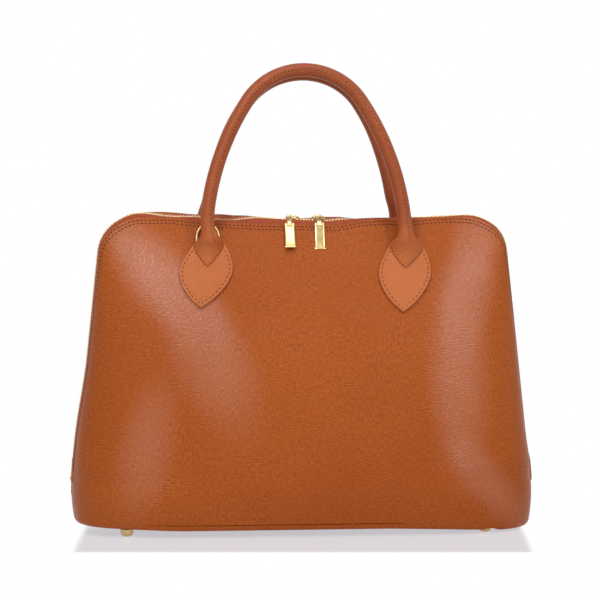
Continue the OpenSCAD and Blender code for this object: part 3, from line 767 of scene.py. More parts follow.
# The zip runs over the top, round the corners and down the sides.
zipRun = {"pitch": 2.5 * mm, "tooth": (1.15 * mm, 4.1 * mm, 1.8 * mm), "head": 0.9 * mm, "endZ": 62.6 * mm,
          "tapeEndZ": 50 * mm, "tapeT": 0.55 * mm, "tapeColumns": 300,
          "tapeAcross": ((-1.1, 0.0), (-2.3, 0.15), (-3.6, -0.2), (-5.2, -0.9)),
          "tapeUnder": ((0.3, -2.55), (3.0, -2.6), (6.0, -2.65), (9.0, -2.7)),
          "openFrom": -7.0 * mm, "openTo": 11.5 * mm, "spread": 0.95 * mm, "toothRim": 0.16 * mm,
          "toothSteps": ((0.22, 0.72, 0.80), (0.28, 1.12, 1.05), (0.0, 0.7, 0.62))}
arcLength = bag["cornerR"] * (math.pi / 2 - sideTilt)


# Place and turn of the zip at a length from its middle, to the left where that is negative.
def zipPlace(s):
    d = abs(s)
    turn = max(0.0, min(math.pi / 2 - sideTilt, (d - roundX) / bag["cornerR"]))
    x = roundX + bag["cornerR"] * math.sin(turn) if turn else d
    z = roundZ + bag["cornerR"] * math.cos(turn)
    down = max(0.0, d - roundX - arcLength)
    x, z = x + down * math.sin(sideTilt), z - down * math.cos(sideTilt)
    side = math.copysign(1.0, s)
    return side * x, z + zipSag(x), side * turn


def zipLength(lowZ):
    cornerZ = roundZ + bag["cornerR"] * math.sin(sideTilt)
    return roundX + arcLength + (cornerZ - lowZ) / math.cos(sideTilt)


# A point of the face that lies a given way in from the edge beside the zip.
def insetPlace(s, depth):
    _, _, turn = zipPlace(s)
    side, turn = math.copysign(1.0, s), abs(turn)
    d = abs(s)
    if turn:
        down = max(0.0, d - roundX - arcLength)
        edgeX = roundX + (bag["cornerR"] - bag["sideIn"]) * math.sin(turn) + down * math.sin(sideTilt)
        edgeZ = roundZ + (bag["cornerR"] - bag["edgeDrop"]) * math.cos(turn) - down * math.cos(sideTilt)
    else:
        edgeX, edgeZ = d, topZ(0)
    edgeX = min(edgeX, faceX(min(edgeZ, topZ(0)))) if turn else edgeX
    edge = faceSpot(side * edgeX, edgeZ)
    low, high = 0.0, depth * 1.3
    for _ in range(16):
        middle = (low + high) / 2
        spot = faceSpot(side * (edgeX - middle * math.sin(turn)), edgeZ - middle * math.cos(turn))
        low, high = (middle, high) if (spot - edge).length < depth else (low, middle)
    return side * (edgeX - low * math.sin(turn)), edgeZ - low * math.cos(turn)


def makeTape():
    columns = zipRun["tapeColumns"]
    reach = zipLength(zipRun["tapeEndZ"])
    lines = []
    for i in range(columns + 1):
        s = reach * (2 * i / columns - 1)
        x, z, turn = zipPlace(s)
        line = [Vector((x + h * mm * math.sin(turn), y * mm, z + h * mm * math.cos(turn)))
                for y, h in zipRun["tapeAcross"]]
        line += [facePoint(*insetPlace(s, depth * mm), out * mm) for depth, out in zipRun["tapeUnder"]]
        lines.append(line)
    rows = len(lines[0]) - 1
    tape = gridPiece("frontZipTape", columns, rows, lambda i, j: lines[i][rows - j])
    thicken(tape, zipRun["tapeT"], 0)
    smoothFaces(tape, 60)
    wear(tape, "zipTape")
    return tape


# One tooth: a clamped root, a waist and a wider head with a small boss.
def makeTooth():
    wide, long, tall = zipRun["tooth"]
    clearAll()
    bpy.ops.mesh.primitive_cube_add(size=1, location=(0, 0, 0))
    tooth = bpy.context.object
    root = long * 0.5
    reshape(tooth, lambda p: (p.x * wide, root * (p.y + 0.5), p.z * tall * (1.0 if p.y < 0 else 0.9)))
    mesh = bmesh.new()
    mesh.from_mesh(tooth.data)
    face = max(mesh.faces, key=lambda f: f.calc_center_median().y)
    for forward, broad, high in zipRun["toothSteps"]:
        if forward:
            face = bmesh.ops.extrude_discrete_faces(mesh, faces=[face])["faces"][0]
        else:
            bmesh.ops.inset_individual(mesh, faces=[face], thickness=0.0)
        middle = face.calc_center_median()
        for v in face.verts:
            v.co = (math.copysign(wide / 2 * broad, v.co.x), middle.y + forward * long,
                    math.copysign(tall / 2 * 0.9 * high, v.co.z))
    mesh.to_mesh(tooth.data)
    mesh.free()
    closeUp(tooth)
    bevelEdges(tooth, zipRun["toothRim"], 1, 40)
    smoothFaces(tooth, 45)
    return tooth


def makeTeeth():
    tooth = makeTooth()
    long = zipRun["tooth"][1]
    count = int(zipLength(zipRun["endZ"]) / zipRun["pitch"])
    for half, shift, way in (("front", 0.0, -1.0), ("back", 0.5, 1.0)):
        places = []
        for i in range(-count, count + 1):
            s = (i + shift) * zipRun["pitch"]
            x, z, turn = zipPlace(s)
            apart = zipRun["spread"] if zipRun["openFrom"] < s < zipRun["openTo"] else 0.0
            turned = Matrix.Rotation(turn, 4, "Y")
            if way > 0:
                turned = turned @ Matrix.Rotation(math.pi, 4, "Z")
            places.append(Matrix.Translation((x, way * (long - zipRun["head"] + apart), z)) @ turned)
        teeth = copiesOf(tooth, half + "ZipTeeth", places)
        wear(teeth, "gold")
        layOn(teeth, half, "zip_teeth", "gold_metal")
    dropPiece(tooth)


# Stitches: holes painted dark as their shade, in a shallow groove, and thread of nearly the leather's colour
# between them.
stitch = {"pitch": 3.4 * mm, "rows": (2.3 * mm, 5.2 * mm), "endZ": 30 * mm, "hole": 0.62 * mm,
          "tabPitch": 3.9 * mm, "neckPitch": 2.9 * mm, "tabHole": 0.56 * mm,
          "neckRun": (238.5, 222.6, 26), "neckIn": 1.25, "seamPitch": 3.2 * mm, "seamHole": 0.34 * mm,
          "seamOut": 0.12 * mm, "seamEnds": 14, "holeOut": 0.06 * mm, "threadOut": 0.10 * mm,
          "lean": 0.10, "long": 1.9 * mm, "wide": 0.66 * mm, "tall": 0.30 * mm, "dip": 0.30 * mm}


def makeThread(long, wide):
    clearAll()
    bpy.ops.mesh.primitive_uv_sphere_add(segments=8, ring_count=6, radius=1, rotation=(0, math.pi / 2, 0))
    bpy.ops.object.transform_apply(location=False, rotation=True, scale=False)
    thread = bpy.context.object

    def pulled(p):
        girth = 1 + 0.25 * (1 - p.x * p.x)
        return (p.x * long / 2, p.y * wide / 2 * girth, p.z * stitch["tall"] - stitch["dip"] * p.x ** 2)

    reshape(thread, pulled)
    smoothFaces(thread, 60)
    return thread


# A flattened dark lens on the leather, painted shade for a stitch hole.
def makeHole(radius):
    clearAll()
    bpy.ops.mesh.primitive_uv_sphere_add(segments=8, ring_count=4, radius=radius)
    pit = bpy.context.object
    reshape(pit, lambda p: (p.x * 1.2, p.y * 0.95, p.z * 0.3))
    smoothFaces(pit, 60)
    return pit


def seat(spot, along, normal):
    along = (along - normal * along.dot(normal)).normalized()
    turned = Matrix((along, normal.cross(along), normal)).transposed().to_4x4()
    return Matrix.Translation(spot) @ turned @ Matrix.Rotation(stitch["lean"], 4, "Z")


# Lays holes and threads along a line of points that comes with its normals.
def sewAlong(name, line, normals, pitch, hole, threadLook):
    steps = [0.0]
    for a, b in zip(line, line[1:]):
        steps.append(steps[-1] + (b - a).length)
    count = max(1, round(steps[-1] / pitch))
    holes, threads = [], []
    for n in range(count + 1):
        for part, shift, out in ((holes, 0.0, stitch["holeOut"]), (threads, 0.5, stitch["threadOut"])):
            reach = (n + shift) / count * steps[-1]
            if reach > steps[-1]:
                continue
            k = max(0, min(len(steps) - 2, sum(s <= reach for s in steps) - 1))
            share = (reach - steps[k]) / max(1e-9, steps[k + 1] - steps[k])
            normal = normals[k].lerp(normals[k + 1], share).normalized()
            spot = line[k].lerp(line[k + 1], share) + normal * out
            part.append(seat(spot, line[k + 1] - line[k], normal))
    pit, thread = makeHole(hole), makeThread(stitch["long"], stitch["wide"])
    made = [copiesOf(pit, name + "Holes", holes), copiesOf(thread, name + "Threads", threads)]
    wear(made[0], "stitchHoleShade")
    wear(made[1], threadLook)
    dropPiece(pit)
    dropPiece(thread)
    return made


def makeEdgeStitches():
    made = []
    reach = zipLength(stitch["endZ"])
    for n, depth in enumerate(stitch["rows"]):
        spots = [insetPlace(s, depth) for s in np.linspace(-reach, reach - n * stitch["pitch"] / 2, 340)]
        line, normals = [faceSpot(*p) for p in spots], [faceNormal(*p) for p in spots]
        made += sewAlong(f"frontZipRow{n + 1}", line, normals, stitch["pitch"], stitch["hole"], "edgeThread")
    return made


def makeZip():
    pieces = [(makeTape(), "zip_tape", "zip_tape")]
    pieces += [(one, None, "tan_leather") for one in makeEdgeStitches()]
    for piece, node, slot in pieces:
        for one, half in bothHalves(piece):
            layOn(one, half, node, slot)
    makeTeeth()


makeZip()
print("zip and its stitches made")

# Handles: a rolled tube that swells into a neck over each leaf-shaped tab.
handle = {"x": 84 * mm, "rise": 147.7 * mm, "archR": 57 * mm, "radius": 5.9 * mm, "topGap": 1.5 * mm,
          "sides": 28, "bendLow": 0.2365, "bendHigh": 0.2505, "skin": 1.6 * mm,
          "seamTurns": (20, -13), "seamSide": 10, "seamDeep": 0.45 * mm, "seamWide": 0.11,
          "ridge": 0.45, "ridgeAt": 0.32, "ridgeWide": 0.13, "seamFrom": 9, "seamOver": 8,
          "backIn": 0.032, "backDrop": 3.2 * mm, "backFrom": 0.262, "backTo": 0.365,
          "neckHeights": (221, 221.6, 222.4, 223.4, 224.8, 226.4, *range(228, 256, 2), 257, 260, 264, 268),
          "legHeights": (273, 278, 284, 290, 297, 304, 311, 318, 325, 332),
          "fillHeights": (238, 241, 246, 252, 260, 268)}
handleLean = math.asin((bag["hingeY"] - handle["radius"] - handle["topGap"]) / handle["rise"])
sideArcR = (handle["x"] ** 2 + handle["rise"] ** 2 - 2 * handle["rise"] * handle["archR"]) / (
    2 * (handle["x"] - handle["archR"]))
sideArcX = handle["x"] - sideArcR
archJoin = math.atan((handle["rise"] - handle["archR"]) / -sideArcX)

# Steps up a neck, in millimetres: height, half width, shift of the left and right legs towards the right,
# height over the tab, and the share of the round tube in its section.
neckSteps = ((221.0, 0.3, 1.3, -0.3, 0.15, 0.0), (222.2, 1.3, 1.3, -0.3, 0.5, 0.0),
             (224.0, 3.0, 1.4, -0.1, 1.4, 0.0), (227.0, 5.6, 1.5, 0.2, 2.8, 0.0),
             (230.5, 8.5, 1.7, 0.6, 4.6, 0.0), (234.0, 11.2, 2.0, 1.0, 6.8, 0.0),
             (237.5, 12.5, 2.3, 1.2, 9.4, 0.04), (241.0, 12.6, 2.9, 0.9, 12.0, 0.20),
             (244.0, 10.9, 3.3, 0.6, 13.6, 0.45), (247.0, 9.0, 3.4, 0.4, 14.0, 0.74),
             (250.5, 7.4, 2.9, 0.3, 14.0, 0.92), (254.5, 6.3, 2.0, 0.3, 14.0, 1.0),
             (260.0, 5.9, 1.0, 0.1, 14.0, 1.0), (268.0, 5.9, 0.3, 0.0, 14.0, 1.0))
neckWays = {-1: {"shift": 2, "raise": 3.0, "broad": 0.0}, 1: {"shift": 3, "raise": 1.0, "broad": 0.12}}
# A leaf in millimetres. Its steps are the share of the height from the tip, and the half width there. The
# left and the right one have their own middle, lean and tip.
leaf = {"top": 243.0, "left": (-84.4, 4.2, 191.2), "right": (82.7, 2.4, 186.6),
        "steps": ((0.0, 0.3), (0.025, 2.0), (0.06, 4.6), (0.11, 8.0), (0.18, 11.9), (0.26, 15.3),
                  (0.35, 18.5), (0.44, 20.7), (0.53, 22.0), (0.62, 22.0), (0.70, 21.0), (0.78, 19.0),
                  (0.86, 16.8), (0.93, 14.8), (1.0, 12.6)),
        "thick": 2.4, "edge": 0.5, "edgeWide": 0.55, "hem": 0.5, "rows": 54, "crowding": 1.12,
        "inset": 2.5, "groove": 0.28, "grooveWide": 0.55, "seat": 0.3, "lift": 1.3, "liftZ": 232.2,
        "liftOver": 14, "marks": (0.0, 0.0, 0.12, 0.5, 1.1, 1.7, 2.1, 2.5, 2.9, 3.4, 4.4)}


# A smooth curve through one item of the steps, by their first item.
def curveThrough(steps, t, item):
    keys = [step[0] for step in steps]
    t = max(keys[0], min(keys[-1], t))
    n = max(0, min(len(keys) - 2, sum(k <= t for k in keys) - 1))
    t0, t1 = keys[n], keys[n + 1]
    here, there = steps[n][item], steps[n + 1][item]
    before = steps[n - 1] if n else steps[n]
    after = steps[n + 2] if n + 2 < len(keys) else steps[n + 1]
    slopeA = (there - before[item]) / (t1 - before[0])
    slopeB = (after[item] - here) / (after[0] - t0)
    u, span = (t - t0) / (t1 - t0), t1 - t0
    return ((2 * u ** 3 - 3 * u * u + 1) * here + (u ** 3 - 2 * u * u + u) * span * slopeA +
            (3 * u * u - 2 * u ** 3) * there + (u ** 3 - u * u) * span * slopeB)


# How far a handle's leg is from the middle at a rise over its hinge, and how far it has turned inward.
def archPlace(rise):
    if rise <= sideArcR * math.sin(archJoin):
        turn = math.asin(rise / sideArcR)
        return sideArcX + sideArcR * math.cos(turn), turn
    turn = math.asin((rise - handle["rise"] + handle["archR"]) / handle["archR"])
    return handle["archR"] * math.cos(turn), turn


# Height of a tab's front over the body leather; it lifts where a ring keeper passes behind it.
def leafLift(z):
    return leaf["seat"] + leaf["lift"] * smooth((z - leaf["liftZ"]) / leaf["liftOver"] + 1)


def leafFront(x, z, more=0.0):
    return facePoint(x * mm, z * mm, (leafLift(z) + leaf["thick"] + more) * mm)


# Middle and half width of a leaf at a height.
def leafAt(x0, lean, tip, z):
    share = (z - tip) / (leaf["top"] - tip)
    return x0 + lean * (share - 0.5) * 2, curveThrough(leaf["steps"], share, 1)


def makeLeaf(name, x0, lean, tip):
    count = leaf["rows"]
    heights = [tip + (leaf["top"] - tip) * (j / count) ** leaf["crowding"] for j in range(count + 1)]
    outline = [(*leafAt(x0, lean, tip, z), z) for z in heights]
    border = np.array([(m - w, z) for m, w, z in outline] + [(m + w, z) for m, w, z in outline])

    def row(m, w, z):
        tilt = min(2.2, 1 / max(0.35, math.cos(math.atan2(abs(m - x0), 40))))
        inward = [min(d * tilt, w * n / 12) for n, d in enumerate(leaf["marks"])]
        offsets = [-w + d for d in inward] + [-w * 0.45, 0.0, w * 0.45] + [w - d for d in inward[::-1]]
        points = []
        for n, offset in enumerate(offsets):
            x = m + offset
            deep = np.min(np.hypot(border[:, 0] - x, border[:, 1] - z))
            fall = leaf["edge"] * max(0.0, 1 - deep / leaf["edgeWide"]) ** 2
            fall += leaf["groove"] * math.exp(-((deep - leaf["inset"]) / leaf["grooveWide"]) ** 2)
            hem = leaf["hem"] if n in (0, len(offsets) - 1) else 0.0
            points.append(leafFront(x, z, -fall - hem))
        back = [facePoint((m + w * side) * mm, z * mm, 0.12 * mm) for side in (1.0, 0.6, 0.0, -0.6, -1.0)]
        return points + back + [points[0]]

    rows = [row(*step) for step in outline]
    columns = len(rows[0]) - 1
    tab = gridPiece(name, columns, len(rows) - 1, lambda i, j: rows[j][i], wrap=True)
    closeUp(tab)
    closeEnds(tab)
    smoothFaces(tab, 40)
    wear(tab, "tabLeather", "leatherEdge")
    return tab


# A point of a neck or of the tube above it. Turn 0 is the front, and it grows towards the arch's middle.
def neckPoint(side, step, turn, radius):
    way = neckWays[side]
    wide, shift, proud, round = (curveThrough(neckSteps, step, item) for item in (1, way["shift"], 4, 5))
    wide *= 1 + way["broad"] * smooth((250 - step) / 8)
    z = step + way["raise"] * smooth((258 - step) / 20)
    round = max(0.0, min(1.0, round))
    rise = max(0.0, z - bag["hingeZ"] / mm)
    shrink = handle["radius"] / mm - radius
    middle = side * archPlace(rise * mm)[0] / mm + shift
    across, deep = math.sin(turn), math.cos(turn)
    x = middle - side * max(0.2, wide - shrink) * across
    base = (leafFront(x, min(z, leaf["top"])) / mm).y
    tubeY = -bag["hingeY"] / mm + rise * math.tan(handleLean)
    rimY = (base - 0.7) * (1 - round) + tubeY * round
    backY = (base + 0.6) * (1 - round) + (tubeY + radius) * round
    frontY = (base - proud + shrink) * (1 - round) + (tubeY - radius) * round
    flare = 2.2 - 1.2 * round
    y = rimY + ((frontY - rimY) * deep ** flare if deep > 0 else (rimY - backY) * deep)
    lean = math.tan(handleLean) * smooth((z - 240) / 14)
    return Vector((x, y, z - (y - rimY) * lean)) * mm


def neckNormal(side, step, turn, radius):
    here = neckPoint(side, step, turn, radius)
    onward = neckPoint(side, step, turn + 0.04, radius) - here
    upward = neckPoint(side, step + 0.3, turn, radius) - here
    out = onward.cross(upward).normalized()
    return -out if out.y > 0 else out


def neckRing(side, step, radius):
    return [neckPoint(side, step, 2 * math.pi * n / handle["sides"], radius) for n in range(handle["sides"])]


def archRing(side, rise, radius):
    x, turn = archPlace(rise)
    inward = Vector((-side * math.cos(turn), 0, -math.sin(turn)))
    ring = []
    for n in range(handle["sides"]):
        a = 2 * math.pi * n / handle["sides"]
        spot = Vector((side * x, -math.cos(a) * radius, rise)) + inward * math.sin(a) * radius
        spot = Matrix.Rotation(-handleLean, 3, "X") @ spot
        ring.append(spot + Vector((0, -bag["hingeY"], bag["hingeZ"])))
    return ring


def handleRings(neck, radius):
    rises = [(z * mm - bag["hingeZ"]) / math.cos(handleLean) for z in handle["legHeights"]]
    turns = np.linspace(math.asin(rises[-1] / sideArcR), archJoin, 8)[1:]
    rises += [sideArcR * math.sin(t) for t in turns]
    turns = np.linspace(archJoin, math.pi / 2, 17)[1:]
    rises += [handle["rise"] - handle["archR"] * (1 - math.sin(t)) for t in turns]
    left, right = ([neckRing(side, z, radius / mm) for z in neck] +
                   [archRing(side, rise, radius) for rise in rises] for side in (-1, 1))
    return left + right[-2::-1]


# The tube's leather meets in a seam, which shows a little to the right of the front of both legs.
def seamTurn(share, more=0.0):
    left, right = handle["seamTurns"]
    return math.radians(left + more + (right - left - 2 * more) * smooth((share - 0.3) / 0.4))


def seamRing(rings, j):
    ring = rings[j]
    middle = sum(ring, Vector()) / len(ring)
    turn = seamTurn(j / (len(rings) - 1), handle["seamSide"])
    deep = handle["seamDeep"] * smooth((min(j, len(rings) - 1 - j) - handle["seamFrom"]) / handle["seamOver"])
    made = []
    for n, spot in enumerate(ring):
        gap = (2 * math.pi * n / len(ring) - turn + math.pi) % (2 * math.pi) - math.pi
        ridge = handle["ridge"] * math.exp(-((abs(gap) - handle["ridgeAt"]) / handle["ridgeWide"]) ** 2)
        dip = math.exp(-(gap / handle["seamWide"]) ** 2) - ridge
        made.append(spot + (middle - spot).normalized() * deep * dip)
    return made


def closedTube(name, rings):
    sides = len(rings[0])
    tube = gridPiece(name, sides, len(rings) - 1, lambda i, j: rings[j][i % sides], wrap=True)
    closeUp(tube)
    closeEnds(tube)
    closeUp(tube)
    return tube


def makeRoll():
    rings = handleRings(handle["neckHeights"], handle["radius"])
    tube = closedTube("frontHandleRoll", [seamRing(rings, j) for j in range(len(rings))])
    useModifier(tube, "SUBSURF", levels=1, render_levels=1)
    smoothFaces(tube, 60)
    wear(tube, "handleLeather")
    filling = handleRings(handle["fillHeights"], handle["radius"] - handle["skin"])
    core = closedTube("frontHandleFilling", filling)
    smoothFaces(core, 60)
    wear(core, "filling")
    return tube, core, rings


def makeTabStitches(x0, lean, tip):
    line, inset = [], leaf["inset"]
    heights = [tip + (leaf["top"] - tip) * share for share in np.linspace(0.0, 0.9, 60)]
    borders = {1: [], -1: []}
    for z in heights:
        m, w = leafAt(x0, lean, tip, z)
        for side in borders:
            borders[side].append(Vector((m + side * w, z)))
    for side in (-1, 1):
        border, inner = borders[side], []
        for n in range(1, len(border) - 1):
            along = (border[n + 1] - border[n - 1]).normalized()
            inner.append(border[n] + Vector((-along.y, along.x)) * side * inset)
        clear = [p for p in inner if (p.x - leafAt(x0, lean, tip, p.y)[0]) * side > 0]
        line += clear[::-1] if side < 0 else clear
    spots = [leafFront(p.x, p.y, -leaf["groove"] + 0.05) for p in line]
    return spots, [faceNormal(p.x * mm, p.y * mm) for p in line]


# The stitches of a neck run down one edge of it and up the other, just inside the edge.
def makeNeckStitches(side):
    line, normals = [], []
    steps, radius = np.linspace(*stitch["neckRun"]), handle["radius"] / mm
    for half, run in ((-1, steps), (1, steps[::-1][1:])):
        for step in run:
            wide = curveThrough(neckSteps, step, 1)
            turn = -side * half * math.asin(max(0.0, 1 - stitch["neckIn"] / wide))
            line.append(neckPoint(side, step, turn, radius))
            normals.append(neckNormal(side, step, turn, radius))
    return line, normals


def makeSeamStitches(rings):
    line, normals = [], []
    for j, ring in enumerate(rings):
        middle = sum(ring, Vector()) / len(ring)
        place = (seamTurn(j / (len(rings) - 1)) / (2 * math.pi) * len(ring)) % len(ring)
        k = int(place)
        spot = ring[k].lerp(ring[(k + 1) % len(ring)], place - k)
        normals.append((spot - middle).normalized())
        line.append(spot + normals[-1] * stitch["seamOut"])
    ends = stitch["seamEnds"]
    return line[ends:-ends], normals[ends:-ends]


# Leather loop that holds the wire of a strap ring on the body.
keeper = {"wireY": -21.901 * mm, "z": 244.5 * mm, "wide": 10 * mm, "wire": 1.08 * mm, "thick": 1.0 * mm,
          "tail": 12 * mm, "lean": math.radians(29.3), "turnFrom": -120, "turnTo": 130,
          "bulge": (-1.0, -0.97, -0.86, -0.4, 0.0, 0.4, 0.86, 0.97, 1.0)}


def makeKeeper():
    x0, outer = -handle["x"], keeper["wire"] + keeper["thick"]
    tail = [facePoint(x0, keeper["z"] - keeper["tail"] * (1 - n / 8), 1.25 * mm) for n in range(6)]
    profile = [(p.y, p.z) for p in tail]
    for turn in np.radians(np.linspace(keeper["turnFrom"], keeper["turnTo"], 13)) + keeper["lean"] * 0.4:
        profile.append((keeper["wireY"] - outer * math.cos(turn), keeper["z"] + outer * math.sin(turn)))
    inner = [facePoint(x0, keeper["z"] - keeper["tail"] * n / 6, 0.1 * mm) for n in range(1, 7)]
    profile += [(p.y, p.z) for p in inner]
    profile.append(profile[0])
    bulge = keeper["bulge"]
    middleY, middleZ = np.mean(np.array(profile), axis=0)

    def place(i, j):
        y, z = profile[j]
        end = abs(bulge[i]) > 0.99
        return (x0 + bulge[i] * keeper["wide"] / 2, middleY + (y - middleY) * (1 - 0.05 * end),
                middleZ + (z - middleZ) * (1 - 0.02 * end))

    loop = gridPiece("frontRingKeeper", len(bulge) - 1, len(profile) - 1, place)
    closeUp(loop)
    closeEnds(loop, bpy.ops.mesh.fill)
    closeUp(loop)
    smoothFaces(loop, 40)
    wear(loop, "tanLeather")
    return loop


# The back handle rests a little lower and narrower than the front one.
def restBack(p):
    high = smooth((p.z - handle["backFrom"]) / 0.02) * smooth((handle["backTo"] - p.z) / 0.06)
    return (p.x * (1 - handle["backIn"] * high), p.y, p.z - handle["backDrop"] * smooth((p.z - 0.30) / 0.09))


def makeHandles():
    roll, core, rings = makeRoll()
    pieces = [(roll, "front_handle_grip", "tan_leather", "neck"),
              (core, "front_handle_core", "handle_filling", "neck")]

    def sew(hold, name, run, *kind):
        pieces.extend((made, None, "tan_leather", hold) for made in sewAlong(name, *run, *kind))

    hole = stitch["tabHole"]
    for side, way in (("left", -1), ("right", 1)):
        name, place = f"front{side.title()}Tab", leaf[side]
        pieces.append((makeLeaf(name, *place), f"front_{side}_handle_tab", "tan_leather", "half"))
        sew("half", name + "Edge", makeTabStitches(*place), stitch["tabPitch"], hole, "tabThread")
        sew("neck", name + "Neck", makeNeckStitches(way), stitch["neckPitch"], hole, "tabThread")
    seam = makeSeamStitches(rings)
    sew("neck", "frontHandleSeam", seam, stitch["seamPitch"], stitch["seamHole"], "seamThread")
    pieces.append((makeKeeper(), "front_ring_keeper", "dark_leather", "half"))
    for piece, node, slot, hold in pieces:
        for one, half in bothHalves(piece):
            if half == "back" and hold == "neck":
                reshape(one, restBack)
            if node:
                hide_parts(node.replace("front", half))
            if hold == "half":
                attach(one, f"{half}_half")
            else:
                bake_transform(one)


makeHandles()
print("handles, tabs and ring keepers made")

# Leather tabs that cover the lower ends of the zip, each with a row of stitches round it.
endTab = {"wide": 23.6 * mm, "low": 40 * mm, "high": 62 * mm, "thick": 0.9 * mm, "far": 0.3 * mm,
          "inset": 2.4 * mm, "corner": 5 * mm, "edge": 0.5 * mm}


def wallX(y, z):
    w = wingY(z)
    share = min(1.0, max(0.0, (abs(y) - w) / (belly(z) - w)))
    return faceX(z) * (1 - share ** (1 / bag["planPower"])) ** (1 / squareness(z))


def endTabPoint(side, y, z, out=0.0):
    gap = endTab["far"] * smooth(y / bag["edgeY"] + 0.5)
    return Vector((side * (wallX(y, z) + gap + endTab["thick"] + out), y, z))


def endTabReach(z, inset=0.0):
    half, middle = (endTab["high"] - endTab["low"]) / 2 - inset, (endTab["high"] + endTab["low"]) / 2
    corner = max(0.3 * mm, endTab["corner"] - inset)
    over = max(0.0, abs(z - middle) - (half - corner)) / corner
    return endTab["wide"] / 2 - inset - corner * (1 - math.sqrt(max(0.0, 1 - over * over)))


def easedSteps(count):
    return [math.sin(math.pi * (n / count - 0.5)) for n in range(count + 1)]


def makeEndTab(side):
    columns, rows = 22, 20
    marks, upward = easedSteps(columns), easedSteps(rows)
    middle, tall = (endTab["high"] + endTab["low"]) / 2, (endTab["high"] - endTab["low"]) / 2

    def place(i, j):
        z = middle + tall * upward[j]
        y = side * marks[i] * endTabReach(z)
        edge = min(endTabReach(z) - abs(y), z - endTab["low"], endTab["high"] - z)
        return endTabPoint(side, y, z, -endTab["edge"] * max(0.0, 1 - edge / (1.1 * mm)) ** 2)

    label = "left" if side < 0 else "right"
    tab = gridPiece(label + "EndTab", columns, rows, place)
    thicken(tab, endTab["thick"] - 0.2 * mm, material_offset_rim=1)
    smoothFaces(tab, 50)
    wear(tab, "tabLeather", "leatherEdge")
    inset, line = endTab["inset"], []
    for turn in np.linspace(0, 2 * math.pi, 60):
        z = middle + (tall - inset) * max(-1.0, min(1.0, 1.25 * math.sin(turn)))
        y = endTabReach(z, inset) * max(-1.0, min(1.0, 1.25 * math.cos(turn)))
        line.append(endTabPoint(side, y, z, 0.02 * mm))
    normals = [Vector((side, 0, 0))] * len(line)
    sewn = sewAlong(label + "EndTabRow", line, normals, stitch["tabPitch"], stitch["tabHole"], "tabThread")
    for piece in [tab] + sewn:
        reshape(piece, fillOut)
        if piece == tab:
            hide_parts(label + "_zip_end_tab")
        bendHalf(piece)


# The flat of the bag's bottom: leather underneath, a board on it, and the lining over the board. Each row
# ends with its lower face's height, thickness, distance in from the outside and rounding, in millimetres.
# The base leather's darker tone is painted shade of the bag's underside.
floors = (("baseLeather", "base_panel", "tan_leather", "darkLeather", 6.2, 2.6, 2.6, 0.9),
          ("baseBoard", "base_board", "stiffener", "board", 9.6, 2.0, 4.9, 0.3),
          ("baseLining", "base_lining", "lining", "liningCloth", 11.65, 0.8, 4.9, 0.3))


def makeFloorPlate(name, node, slotName, look, low, thick, inset, round):
    columns, rows = 80, 10
    lowZ = bag["panelLowZ"]
    reach, power = faceX(lowZ), 2 / squareness(lowZ) + bag["planPower"] / 2
    marks = easedSteps(columns)

    def place(i, j):
        s = math.copysign(abs(marks[i]) ** power, marks[i])
        x = (reach - inset * mm) * s
        y = min(0.0, faceY(reach * s, lowZ) + inset * mm)
        return Vector((x, y * (1 - 2 * j / rows), (low + thick) * mm))

    plate = gridPiece(name, columns, rows, place)
    thicken(plate, thick * mm)
    closeUp(plate)
    bevelEdges(plate, round * mm, 2, 60)
    smoothFaces(plate, 40)
    wear(plate, look)
    reshape(plate, lambda p: fillOut(p, False))
    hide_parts(node)
    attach(plate, "base")


# A rod or strap along a path: each section is a list of points, with their places across it and upward.
sideX, sideY = Vector((1, 0, 0)), Vector((0, 1, 0))


def sweptPiece(name, path, sections, across=sideX):
    rings = []
    for n, spot in enumerate(path):
        ahead = (path[min(len(path) - 1, n + 1)] - path[max(0, n - 1)]).normalized()
        side = (across - ahead * across.dot(ahead)).normalized()
        up = side.cross(ahead)
        rings.append([spot + side * a + up * b for a, b in sections[n]])
    return closedTube(name, rings)


def roundSection(wide, tall, sides=12):
    turns = [2 * math.pi * n / sides for n in range(sides)]
    return [(wide * math.cos(turn) * mm, tall * math.sin(turn) * mm) for turn in turns]


def boxSection(wide, tall, rim):
    corners = [(wide - rim, -tall), (wide, -tall + rim), (wide, tall - rim), (wide - rim, tall)]
    return [(x * mm, z * mm) for x, z in corners + [(-x, z) for x, z in corners[::-1]]]


# Zip slider, in millimetres from the middle of the teeth. Its tail is at -X, where the link hangs.
# The moves are those of the left and the right one along the zip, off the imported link's place.
slider = {"long": 13.0, "wide": 6.9, "spread": 0.5, "top": 1.65, "plate": 1.0, "dome": 0.35,
          "arch": ((-5.9, 2.0), (-5.75, 2.9), (-5.2, 3.6), (-4.2, 3.95), (-2.2, 4.05), (0.2, 4.15),
                   (2.2, 4.1), (3.7, 3.7), (4.6, 3.1), (5.0, 2.0)),
          "archWide": (1.7, 1.5, 1.1, 0.8, 0.75, 0.9, 1.3, 1.7, 1.9, 1.9), "archThick": 0.72,
          "postX": 3.9, "postZ": (-1.7, -0.6, 0.6, 1.75), "post": (1.5, 0.75),
          "lipX": (-6.1, -4, -1, 1.5, 3.4), "lipZ": -1.5, "lipIn": 0.35, "lip": (0.32, 0.75, 0.15),
          "rim": 0.16, "drop": 2.3, "lower": 2.2, "pullUp": 1.0,
          "eyeZ": 3.95, "eyeR": 1.15, "linkThick": 0.42, "linkRim": 0.22,
          "linkOver": ((-2.6, 4.2), (-4.6, 4.25), (-5.9, 3.5), (-7.1, 1.8)),
          "linkWide": ((0, 9, 13, 17, 19, 28), (1.9, 2.3, 2.45, 2.2, 2.0, 1.9)),
          "bodyMove": (-0.5, -2.7), "linkMove": (-4.2, -1.8)}


